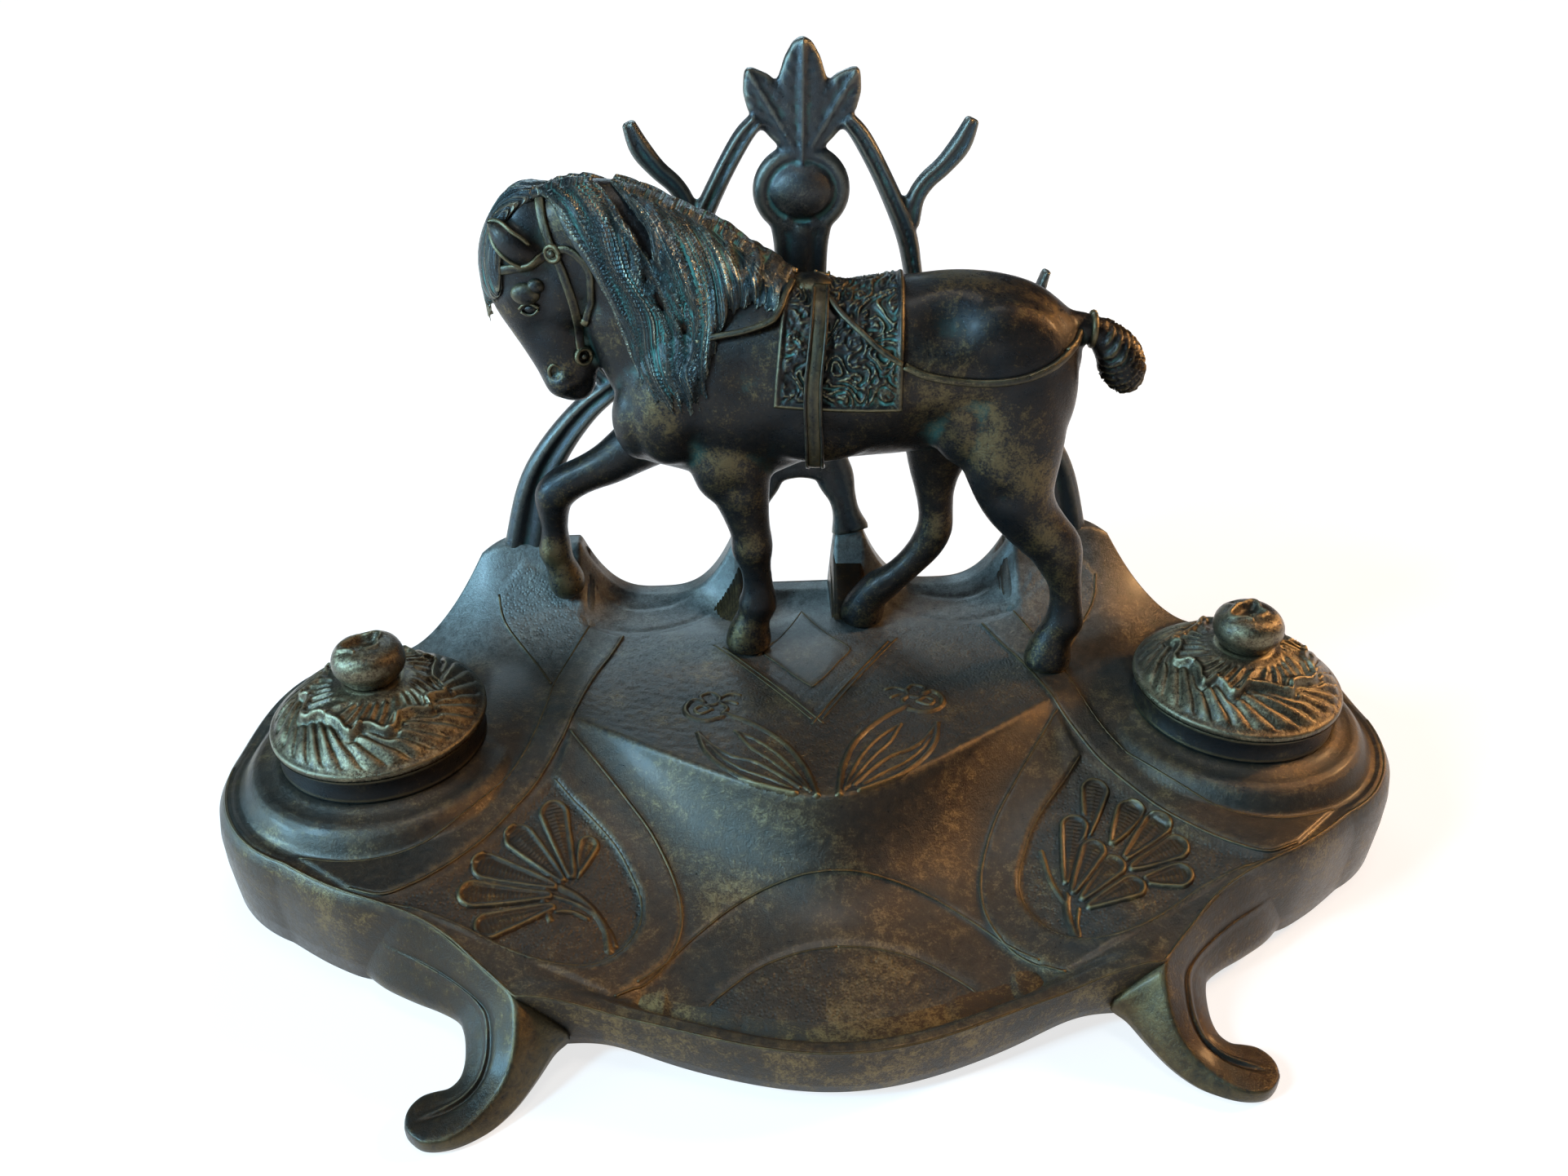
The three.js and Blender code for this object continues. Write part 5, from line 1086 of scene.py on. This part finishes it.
HEAD = [
    (-84.6, 0, 140, 4, 4.5), (-86.4, 0, 136, 9.5, 7.4), (-87.6, 0, 128.5, 13.2, 8.8),
    (-88, 0, 120.5, 15.2, 9), (-87.6, 0, 112.5, 14.4, 8.6), (-86.2, 0, 105.5, 12, 7.6),
    (-84.4, 0, 99, 10.2, 6.7), (-82.6, 0, 93, 9.1, 6.2), (-81.5, 0, 87.6, 8.2, 6), (-81, 0, 83.6, 6.2, 5),
    (-81.2, 0, 81.4, 3.6, 3.4)]
NEAR_FORE = [
    (-37, -6, 84, 17, 9), (-34, -7.5, 69, 13, 9.4), (-31.8, -8, 58, 9.6, 7.8), (-29.8, -8, 48, 7.2, 6.3),
    (-28.5, -8, 41.5, 6.3, 5.9), (-28.2, -8, 36.5, 6.7, 6.3), (-27.4, -8, 31, 5.2, 5.1),
    (-26.6, -8, 25, 4.7, 4.5), (-26.4, -8, 19.8, 5.6, 5.2), (-26.8, -8, 16.2, 6.5, 6),
    (-27.6, -8, 12.7, 5.4, 5.3), (-28.7, -8, 9.6, 5.9, 5.9), (-29.4, -8, 6, 7, 6.8),
    (-29.8, -8, 2, 7.6, 7.4), (-29.8, -8, 0, 7.5, 7.3)]
NEAR_HIND = [
    (45, -8.5, 94, 17, 11), (46.5, -10.2, 81, 15.8, 10.8), (47.4, -11.8, 70, 14.4, 9.8),
    (49.6, -12.8, 60, 11.6, 8.4), (53.4, -13, 53, 9.6, 7.2), (58.6, -13, 47, 8.6, 6.3),
    (62.8, -13, 42.5, 8.1, 5.9), (64.8, -13, 37.6, 7.2, 5.6), (66.7, -13, 32, 5.5, 5),
    (68, -13, 26, 5, 4.6), (68.6, -13, 20.3, 5.4, 5), (68.7, -13, 16.6, 6.2, 5.8),
    (67, -13, 12.8, 5.6, 5.3), (65.8, -13, 9.6, 6, 5.9), (65.3, -13, 6, 7, 6.8), (65, -13, 2, 7.6, 7.4),
    (65, -13, 0, 7.5, 7.3)]
FAR_HIND = [
    (31, 7, 80, 15, 10), (28.6, 8.6, 68, 12, 8.6), (27.6, 9.6, 58, 8.8, 7.2), (27.8, 9.8, 50, 6.5, 6.1),
    (28.6, 9.8, 42.5, 5.6, 5.5), (28.8, 9.8, 36, 5.8, 5.8), (26.8, 9.8, 30, 5.6, 5.3),
    (22.4, 9.8, 23.4, 5, 4.7), (17, 9.8, 17.4, 5, 4.8), (12.6, 9.8, 13.6, 6, 5.6),
    (9.4, 9.8, 10.4, 5.8, 5.6), (7.6, 9.8, 6.4, 6.8, 6.6), (6.6, 9.8, 2.4, 7.4, 7.2),
    (6.5, 9.8, 0, 7.3, 7.1)]
FORELEG = [
    (-58, 7, 68, 10, 8), (-66, 7, 62.5, 8.4, 7.2), (-73.5, 6, 57.6, 7, 6.2), (-81, 5.2, 54, 6, 5.6),
    (-87.6, 4.6, 50.6, 6.2, 5.8), (-91.8, 4.3, 46.4, 6.3, 5.7), (-92.4, 4.3, 41, 5.2, 5),
    (-92.6, 4.3, 35.5, 4.4, 4.3), (-92.9, 4.3, 30.5, 4.9, 4.8), (-93.2, 4.3, 26.6, 5.7, 5.4),
    (-92.4, 4.3, 22.8, 4.9, 4.7), (-91.4, 4.3, 19.4, 5.5, 5.3), (-90.6, 4.3, 15.6, 6.2, 6),
    (-90, 4.3, 12, 5.6, 5.4), (-89.4, 4.3, 10, 3.6, 3.8)]
DOCK = [
    (56, 0, 106, 4, 4), (62, 0, 107, 3.6, 3.6), (67.5, 0, 105.6, 3.7, 3.7), (70, 0, 104, 4.4, 4.4),
    (74.5, 0, 99.6, 6, 6), (77.2, 0, 94.6, 6.4, 6.2), (77.8, 0, 90.4, 5.4, 5.4), (77, 0, 87.6, 2.6, 2.8)]
MUSCLES = [
    ((-48, 11.6, 86), (13, 7.4, 21), 18),
    ((-61, 6, 78), (8, 8.4, 13), 0),
    ((-35, 9.4, 67), (11, 7.2, 15), 8),
    ((40, 10.4, 99), (20, 10, 18), -12),
    ((33, 11, 84), (12, 8, 18), -18),
    ((56, 7.4, 90), (8.4, 8.6, 18), 0),
    ((46, 11.6, 75), (13, 8, 18), 12),
    ((-80, 4.2, 116), (9, 5.4, 12), 0),
    ((-83, 3.6, 88), (5.6, 4.2, 5.4), 0),
    ((-93, 5.2, 114), (5, 3.6, 5), 0),
    ((-10, 12.6, 86), (24, 7, 18), 0),
    ((14, 13.4, 92), (20, 6.4, 16), 0)]
# Hollows and grooves pressed into the skin: place, reach and depth
PRESSED = [
    ((26, 17, 112), 7, 2.4),
    ((48, 19, 107), 8, 1.3),
    ((38, 20, 103), 5, 0.9),
    ((-28, 18, 94), 7, 1.2),
    ((22, 18, 80), 8, 1.3),
    ((-44, 16, 74), 5, 1.0),
    ((45, 20, 62), 4, 0.8),
    ((-33, 14, 60), 3.5, 0.7),
    ((-84.6, 7, 91.4), 1.7, 1.5),
    ((-75, 4, 87), 2, 0.8),
    ((-79, 6, 85), 1.8, 0.7),
    ((-71, 9, 112), 4, 1),
    ((-88, 8, 104), 4, 0.8),
    ((-20, 19, 70), 9, 0.8)]
WORN = [
    ((-84, 5, 91), 6),
    ((-96, 4, 100), 5),
    ((-29.8, 8, 4), 9),
    ((65, 13, 4), 9),
    ((6.5, 10, 4), 9),
    ((-90, 4, 14), 7),
    ((-36, 15, 68), 9),
    ((-31, 14, 55), 6),
    ((-28, 13, 38), 6),
    ((38, 18, 76), 10),
    ((52, 18, 70), 10),
    ((56, 18, 50), 7),
    ((34, 4, 122), 16),
    ((-52, 17, 84), 8),
    ((-90, 0, 49), 6),
    ((-93, 0, 27), 6),
    ((0, 19, 70), 9),
    ((-83, 6, 87), 5),
    ((28, 8, 38), 6)]


# Ears, cast with the head
EAR = [
    (-86, 7.5, 124.4, 3, 2.6), (-89.4, 9.6, 126.8, 4, 3), (-92.4, 10.2, 129.6, 4, 2.8),
    (-95.2, 9.4, 132.4, 3, 2.2), (-98.2, 7.6, 135, 1, 0.9)]


def horse_piece(name, bm):
    """A piece modelled in the horse's own millimetres, put in its place on the deck."""
    bm.transform(HORSE_PLACE)
    return finish_piece(name, bm)


def horse_places(piece):
    """The piece's points in the horse's own millimetres."""
    back = np.array(HORSE_PLACE.inverted() @ Matrix.Translation((0, -PLAN_SHIFT, 0)) @ Matrix.Scale(1000, 4))
    return points_of(piece.data) @ back[:3, :3].T + back[:3, 3]


def nearness(where, place, reach):
    """How near each point is to the place and to its mirror image, as shares for the two sides."""
    x, y, z = place
    return [np.exp(-(np.linalg.norm(where - (x, side * y, z), axis=1) / reach) ** 2) for side in (-1, 1)]


def raise_skin(piece, lift):
    """Moves each point out along its normal by its lift in millimetres."""
    moved = points_of(piece.data) + points_of(piece.data, "normal") * (lift * 0.001)[:, None]
    piece.data.vertices.foreach_set("co", moved.ravel())
    piece.data.update()


horse_bm = bmesh.new()
for stations, around in ((TRUNK, 40), (NECK, 36), (CREST, 16), (HEAD, 32), (NEAR_FORE, 24), (NEAR_HIND, 24),
                         (FAR_HIND, 24), (FORELEG, 24), (DOCK, 20)):
    tube(horse_bm, stations, around=around, step=1.6)
for side in (-1, 1):
    tube(horse_bm, [(x, side * y, z, deep, wide) for x, y, z, deep, wide in EAR], around=16, step=0.8)
for (x, y, z), radii, tilt in MUSCLES:
    for side in (-1, 1):
        mass = bmesh.ops.create_icosphere(horse_bm, subdivisions=4, radius=1)["verts"]
        put(horse_bm, mass, radii, Matrix.Rotation(radians(tilt), 3, "Y"), (x, side * y, z))
draught_horse = horse_piece("draught_horse", horse_bm)
fuse(draught_horse, 0.001, 18)
where = horse_places(draught_horse)
raise_skin(draught_horse, -sum(depth * share for place, reach, depth in PRESSED
                               for share in nearness(where, place, reach)))
# The tied tail is wound like a rope
x, y, z = horse_places(draught_horse).T
twist = 0.75 * np.sin(1.9 * (x - z + y) + 1.2 * np.sin(z * 0.5))
raise_skin(draught_horse, twist * smooth(69.5, 72, x) * (z > 80))
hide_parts("horse_casting", "horse_raised_foreleg", "horse_tail")
mark_proud(draught_horse, 8)
skin_places = horse_places(draught_horse)
worn_shares = [nearness(skin_places, place, reach) for place, reach in WORN]
store(draught_horse, "worn", np.max(worn_shares, axis=(0, 1)))
horse_patina = patina("horse_patina", rub=0.4, mottle=0.3, green=0.35, brown=0.35, edge=0.45, gloss=0.25)
draught_horse.data.materials.append(horse_patina)
skin = BVHTree.FromPolygons([Vector(v) for v in skin_places],
                            [p.vertices[:] for p in draught_horse.data.polygons])


def on_skin(point, side=-1, lift=0.0):
    """A place on the skin with its normal: a pair is looked up from the side, a triple from nearby."""
    if len(point) == 2:
        hit, normal, _, _ = skin.ray_cast(Vector((point[0], side * 60, point[1])), Vector((0, -side, 0)), 62)
        if hit is None:
            hit, normal, _, _ = skin.find_nearest(Vector((point[0], 0, point[1])))
    else:
        hit, normal, _, _ = skin.find_nearest(Vector(point))
    return hit + normal * lift, normal


# Mane and forelock: long locks cast over both sides of the neck, chased into strands that run from the crest
# down to the chest. The guide lines give a strand's places along the neck; strands fill in between them.
MANE_LINES = [
    [(-84, 141.4), (-78.5, 138.4), (-73.6, 132), (-70, 126.6), (-67.2, 119.4), (-64, 112.1), (-61.5, 104.5),
        (-60.4, 98.1), (-59, 92)],
    [(-81, 142.8), (-74.9, 139.8), (-70, 133.5), (-66.4, 125.4), (-63.5, 118.2), (-60.8, 111.6),
        (-58.5, 104.8), (-57.3, 97), (-54.9, 90.4), (-52.2, 84)],
    [(-76.5, 143.8), (-71.9, 140.7), (-67.6, 134.7), (-65.3, 127), (-62.2, 120.9), (-58.7, 114.9),
        (-57, 108.5), (-56.6, 101.8), (-54.3, 94.5), (-50.8, 87.9), (-48.3, 82.6)],
    [(-71, 144.2), (-66.7, 141.2), (-62.8, 135.3), (-60.7, 128.9), (-59.3, 122.7), (-55.6, 117),
        (-52.2, 111), (-52, 103.4), (-50.6, 96), (-47, 89.5), (-45.1, 82.4)],
    [(-65.5, 143.9), (-61.3, 141), (-56.6, 135.6), (-53.5, 130), (-51.6, 123.6), (-51.2, 117.8)],
    [(-52.5, 121.5), (-50.1, 117.1), (-46.7, 112.8), (-43.9, 107), (-44.5, 100.5), (-46.3, 95.5),
        (-43.9, 89.5), (-43.8, 82)],
    [(-59.5, 142.2), (-55, 139.2), (-50.9, 134.6), (-47.8, 128.4), (-45, 121.2), (-42.9, 115.7),
        (-40.9, 109.3), (-41.9, 102.5), (-43.6, 97)],
    [(-53.5, 140), (-49.8, 137), (-46, 132.8), (-42.3, 126.3), (-40, 119.7), (-38.9, 112.8), (-39.1, 106),
        (-40.4, 99.1), (-40.3, 91.7), (-38.7, 83.6)],
    [(-47, 137), (-43.3, 134), (-40, 129.9), (-37.2, 124), (-35.6, 117.6), (-34.9, 111.4), (-36.6, 106.6)],
    [(-41.5, 134.2), (-37, 130.6), (-33.2, 126.8), (-30.8, 122.3), (-29.9, 116.6), (-31, 110.6)],
    [(-35.5, 131), (-31.3, 127.4), (-27.5, 124), (-25.6, 120), (-25.4, 115), (-27.2, 110.2)],
    [(-28, 126), (-24.3, 123.4), (-21.4, 120.4), (-19.3, 117.6), (-19.5, 114.3), (-21.2, 111)],
    [(-23, 122.4), (-20.6, 120.4), (-18.6, 118.6), (-17.2, 116.4)]]
MANE_GAPS = [
    (0, 1, 8), (1, 2, 8), (2, 3, 8), (3, 4, 0), (4, 6, 9), (5, 7, 8), (6, 7, 8), (7, 8, 9), (8, 9, 9),
    (9, 10, 9), (10, 11, 9), (11, 12, 6), (3, 5, 6)]
chance = np.random.default_rng(11)


def along_line(points, count):
    """So many evenly spaced places along the smooth line through the points."""
    line = curve_through(points, 1.0)
    reach = np.r_[0, np.cumsum(np.hypot(*np.diff(line, axis=0).T))]
    return np.stack([np.interp(np.linspace(0, reach[-1], count), reach, line[:, k]) for k in range(2)], 1)


def lock(bm, places, side, radius, sway, start, turns):
    """One lock of hair along the places, swaying from its guide line and thinning to its end."""
    stations = []
    for i, (x, z) in enumerate(places):
        t = i / (len(places) - 1)
        drift = sway * sin(start + t * turns) * smooth(0, 0.3, t)
        hit, normal = on_skin((x + drift, z), side, 0)
        size = radius * min(1, 0.55 + 2.4 * t) * float(1 - smooth(0.72, 1.02, t) * 0.82)
        stations.append((*(hit + normal * (size * 0.7)), size, size))
    tube(bm, stations, around=8, step=1.5)


LOCK_PLACES, WIDE_LOCK = 30, 1.8
FORELOCK_RADII = (1, 1.5, 1.6, 1.5, 1.1, 0.4)
mane_bm = bmesh.new()
for side in (-1, 1):
    for first, second, count in MANE_GAPS:
        one, two = (along_line(MANE_LINES[k], LOCK_PLACES) for k in (first, second))
        for k in range(count):
            share = (k + 0.5 + chance.uniform(-0.3, 0.3)) / count
            places = mix(one, two, share)[:int(LOCK_PLACES * chance.uniform(0.86, 1))]
            radius = (WIDE_LOCK if k % 3 == 1 else 1.0) * chance.uniform(0.75, 1.15)
            sway, start, turns = (chance.uniform(*limits) for limits in ((0.5, 1.4), (0, 6), (6, 11)))
            lock(mane_bm, places, side, radius, sway, start, turns)
for k, start in enumerate(np.linspace(-87, -78, 9)):
    for side in (-1, 1):
        sway = chance.uniform(-1.2, 1.2)
        drop = [(start, 1 + 0.3 * k, 141), (start - 5 - 0.4 * k, 2 + 0.2 * k, 139.5),
                (-97 + 0.5 * k, 2.4 + 0.3 * k, 133), (-101 + 0.7 * k, 2.6 + 0.35 * k, 125),
                (-102.4 + 0.8 * k, 2.4 + 0.35 * k + 0.4 * sway, 116),
                (-103 + 1.1 * k, 1.8 + 0.5 * sway, 106.5 + 1.2 * k + 2 * sway)]
        thick = chance.uniform(0.8, 1.2)
        drop = [(x, side * y, z) for x, y, z in drop]
        drop = [tuple(on_skin(p, side, 0.7)[0]) if 112 < p[2] < 140 else p for p in drop]
        hairs = [(*p, radius * thick, radius * thick) for p, radius in zip(drop, FORELOCK_RADII)]
        tube(mane_bm, hairs, around=8, step=1.5)
horse_mane = horse_piece("horse_mane", mane_bm)
fuse(horse_mane, 0.00055, 1)
mark_proud(horse_mane)
# Each place of the mane takes the number of the guide line it lies by, so that fine hair can follow the locks
guides = []
for first, second, count in MANE_GAPS:
    one, two = (along_line(MANE_LINES[k], 60) for k in (first, second))
    for share in np.linspace(0, 1, 41):
        guides += [(x, z, mix(first, second, share)) for x, z in mix(one, two, share)]
tree = KDTree(len(guides))
for k, (x, z, _) in enumerate(guides):
    tree.insert((x, 0, z), k)
tree.balance()
FORELOCK_FROM, FORELOCK_HAIRS = -86, 0.16
strand = [guides[tree.find((x, 0, z))[1]][2] if x > FORELOCK_FROM else y * FORELOCK_HAIRS + 20
          for x, y, z in horse_places(horse_mane)]
store(horse_mane, "strand", strand)
# The mane's rubbed brass crests are wear and also painted highlights on its strands
mane_patina = patina("mane_patina", rub=0.85, mottle=0.3, green=1.0, brown=0.4, edge=0.14,
                     bright=(0.27, 0.25, 0.18, 1), dark=(0.034, 0.05, 0.058, 1), gloss=0.22, strands=5.0)
horse_mane.data.materials.append(mane_patina)

# Harness and features: bridle, reins, girth, breeching and crupper ring, cast with the horse and chased, with
# the eyes, the rims of the ears and the nostrils modelled beside them.
BRIDLE_HALF, REIN_HALF, GIRTH_HALF, NARROW_HALF = 1.3, 0.9, 2.1, 1.1
# Half width, thickness, height above the skin and points round its section; then places on one side, as pairs
# of length and height seen from there or as triples near the skin
STRAPS = [
    (BRIDLE_HALF, 0.7, 0.3, 12, [(-100.5, 1, 121.4), (-98.6, 6, 121), (-93.7, 9, 121.9), (-87.3, 9.6, 124),
        (-81.1, 9.6, 126.7)]),
    (BRIDLE_HALF, 0.7, 0.3, 12, [(-80.6, 10, 126.4), (-78.4, 10, 120.4), (-76.8, 9, 113.5), (-76.4, 6, 105),
        (-76, 5.4, 97.4)]),
    (NARROW_HALF, 0.7, 0.3, 12, [(-80.6, 10, 126.8), (-77.4, 10.4, 128), (-73.5, 11, 125.8),
        (-71, 11, 121.4), (-71.6, 8, 113), (-73, 3, 109), (-73.2, 0, 108.6)]),
    (BRIDLE_HALF, 0.7, 0.3, 12, [(-80.9, 10, 127.2), (-82.6, 8.6, 133), (-84, 5, 139), (-84.4, 0, 141)]),
    (REIN_HALF, 0.9, 1.6, 12, [(-16.4, 117.4), (-17.9, 115.1), (-20.6, 110.5), (-27.9, 107.7), (-35.4, 106),
        (-42, 104.4)]),
    (GIRTH_HALF, 0.8, 1.5, 12, [(-8.7, 116.4), (-8.6, 109.5), (-8.9, 103), (-9.5, 96), (-9.6, 88),
        (-9.2, 76), (-9, 68), (-9, 64.6)]),
    (0.45, 0.6, 2.2, 12, [(-10.6, 116), (-10.6, 109.5), (-11, 103), (-11.6, 96), (-11.7, 88), (-11.2, 76),
        (-11.1, 68)]),
    (0.45, 0.6, 2.2, 12, [(-6.9, 116), (-6.6, 109.5), (-6.9, 103), (-7.4, 96), (-7.4, 88), (-7, 76),
        (-6.9, 68)]),
    (0.8, 0.8, 1.6, 12, [(-6.4, 114.4), (-2.2, 111.2), (3.1, 107.9), (8.3, 104.3), (14.2, 101)]),
    (NARROW_HALF, 0.8, 0.5, 12, [(14.8, 100.6), (20.2, 98.3), (27.7, 96.9), (35, 96.3), (42.2, 96.8),
        (49.4, 98.1), (56, 100.8), (61, 104)]),
    (NARROW_HALF, 0.8, 0.4, 12, [(60, 14, 103.4), (63, 9, 105), (64, 5, 106)])]
# The eyelids and the rims of the ears, written in the same way
FEATURE_LINES = [
    (0.45, 0.6, 0.5, 8, [(-92, 110.9), (-90.4, 112.3), (-88.4, 112.5), (-86.4, 111.4)]),
    (0.4, 0.5, 0.5, 8, [(-91.6, 110.2), (-90, 109.3), (-88.2, 109.4), (-86.6, 110.8)]),
    (0.6, 0.7, 0.2, 8, [(-87.4, 10, 128.8), (-91, 11, 132.4), (-94.6, 9, 134.8), (-98.2, 6.5, 135.4)]),
    (0.6, 0.7, 0.2, 8, [(-98.4, 6.5, 134.2), (-96, 10, 129.6), (-92.8, 11, 126), (-89, 10, 123.6)])]
# Rings of the bridle, as radius and place, and the eye's swellings, as place, radii and height on the skin
BRIDLE_RINGS = ((2.1, (-80.9, 9.6, 126.6)), (2.2, (-75.4, 5.4, 96)))
EYE_MASSES = (
    ((-89.8, 115.2), (3.2, 4.2, 2.2), 0.1),
    ((-86.6, 117.4), (2.2, 2.4, 1.6), 0.2),
    ((-88.9, 110.9), (1.2, 1.8, 1), 0.1))


def strap(bm, side, half, thick, lift, around, points):
    """A flat strap laid along the skin on one side of the horse."""
    line = curve_through([(p[0], side * p[1], p[2]) if len(p) == 3 else p for p in points], 3.0)
    stations = [(*hit, half, thick, *normal) for hit, normal in (on_skin(tuple(p), side, lift) for p in line)]
    tube(bm, stations, around=around, step=1.0, square=0.6)


def hoop(bm, hit, normal, radii, thick, angles):
    """A ring of wire, whole or open, lying on the skin round a place."""
    turn = normal.to_track_quat("Z", "Y").to_matrix()
    places = [hit + turn @ Vector((radii[0] * cos(a), radii[1] * sin(a), 0)) for a in angles]
    tube(bm, [(*place, thick, thick, *normal) for place in places], around=8, step=0.6)


harness_bm = bmesh.new()
for side in (-1, 1):
    for half, thick, lift, around, points in STRAPS:
        strap(harness_bm, side, half, thick, lift, around, points)
    for radius, (x, y, z) in BRIDLE_RINGS:
        hit, normal = on_skin((x, side * y, z), side, 0.7)
        hoop(harness_bm, hit, normal, (radius, radius), 0.75, np.linspace(0, 2 * pi, 13))
        stud = bmesh.ops.create_uvsphere(harness_bm, u_segments=16, v_segments=10, radius=1.1)["verts"]
        put(harness_bm, stud, place=hit)
    for place, radii, lift in EYE_MASSES:
        hit, normal = on_skin(place, side, lift)
        mass = bmesh.ops.create_uvsphere(harness_bm, u_segments=24, v_segments=14, radius=1)["verts"]
        put(harness_bm, mass, radii, normal.to_track_quat("Z", "X").to_matrix(), hit)
    for half, thick, lift, around, points in FEATURE_LINES:
        strap(harness_bm, side, half, thick, lift, around, points)
    nostril, normal = on_skin((-84.6, 91.4), side, 0.3)
    hoop(harness_bm, nostril, normal, (1.7, 2.3), 0.6, np.linspace(0.3, 5.6, 12))
saddle = bmesh.ops.create_uvsphere(harness_bm, u_segments=32, v_segments=16, radius=1)["verts"]
put(harness_bm, saddle, stretch=(6.4, 6.4, 3), place=(-11.4, 0, 116.6))
crupper = [(67.6, 4.4 * cos(a), 105.2 + 4.4 * sin(a), 1, 1) for a in np.linspace(0, 2 * pi, 13)]
tube(harness_bm, crupper, around=8, step=0.8)
horse_harness = horse_piece("horse_harness", harness_bm)
mark_proud(horse_harness, 3)
harness_patina = patina("harness_patina", rub=0.6, mottle=0.5, green=0.6, brown=0.4, edge=0.08,
                        bright=(0.21, 0.17, 0.09, 1))
horse_harness.data.materials.append(harness_patina)

# Saddle cloth: a bordered cloth over the horse's back, cast in one with it, with a beaded edge round a ground
# of chased scrolls. Its front and back edges are given at the spine and the hem, its turns at the two hems.
CLOTH_SPINE, CLOTH_HEM, CLOTH_TURNS = (-18.4, 14.6), (-21, 15.2), (radians(201), radians(-21))
CLOTH_WIDTH, CLOTH_DROP, CLOTH_ROUND, AXIS_HEIGHT = 34, 40, 75, 95
cloth_bm = bmesh.new()
for vert in bmesh.ops.create_grid(cloth_bm, x_segments=120, y_segments=190, size=1)["verts"]:
    across, around = (vert.co.x + 1) / 2, (vert.co.y + 1) / 2
    turn = mix(*CLOTH_TURNS, around)
    low = abs(around - 0.5) * 2
    x = mix(*(mix(spine, hem, low) for spine, hem in zip(CLOTH_SPINE, CLOTH_HEM)), across)
    out = Vector((0, cos(turn), sin(turn)))
    hit, normal, _, _ = skin.ray_cast(Vector((x, 0, AXIS_HEIGHT)) + out * 60, -out, 62)
    rim = min(across * CLOTH_WIDTH, (1 - across) * CLOTH_WIDTH, (1 - low) * CLOTH_DROP)
    bead = 0.7 * np.exp(-((rim - 1.2) / 0.8) ** 2)
    arc = around * CLOTH_ROUND
    bend = noise.noise(Vector((x * 0.16, arc * 0.16, 7)))
    swirl = 1 - 4 * abs(noise.noise(Vector((x * 0.2 + 2.5 * bend, arc * 0.25 - 2.5 * bend, 2))))
    swirl += 0.3 - 1.3 * abs(noise.noise(Vector((x * 0.5, arc * 0.55 + 2 * bend, 5))))
    lift = -0.8 + smooth(0, 0.5, rim) * (1.6 + bead + 0.7 * max(swirl, -0.7) * smooth(1.8, 3.2, rim))
    vert.co = hit + normal * float(lift)
saddle_cloth = horse_piece("saddle_cloth", cloth_bm)
mark_proud(saddle_cloth, 5)
cloth_patina = patina("cloth_patina", rub=0.75, mottle=0.4, green=0.8, brown=0.4, edge=0.12,
                      bright=(0.22, 0.18, 0.1, 1))
saddle_cloth.data.materials.append(cloth_patina)

# Hidden fastenings: turned steel screws, brass studs and nuts, and the foreleg's brass pin, left as the
# drawing has them and only given their metal.
PLAIN_METALS = (
    ("steel", ((0.20, 0.20, 0.21, 1), (0.09, 0.075, 0.06, 1)), 0.34),
    ("brass", ((0.42, 0.29, 0.11, 1), (0.16, 0.10, 0.04, 1)), 0.3))
for slot_name, colours, roughness in PLAIN_METALS:
    metal = Nodes(bpy.data.materials.new("plain_" + slot_name))
    stain = metal.span(metal.noise(420, 6, 0.7), 0.42, 0.62)
    metal.feed(metal.shader, {"Base Color": metal.blend(stain, *colours), "Metallic": 1.0,
                              "Roughness": metal.span(stain, 0, 1, roughness, roughness + 0.22)})
    for node in bpy.data.objects:
        for slot in node.material_slots:
            name = slot.material.name.split(".")[0] if slot.material else ""
            if name.endswith(slot_name) and "plain" not in name:
                slot.material = metal.owner

low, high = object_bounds()
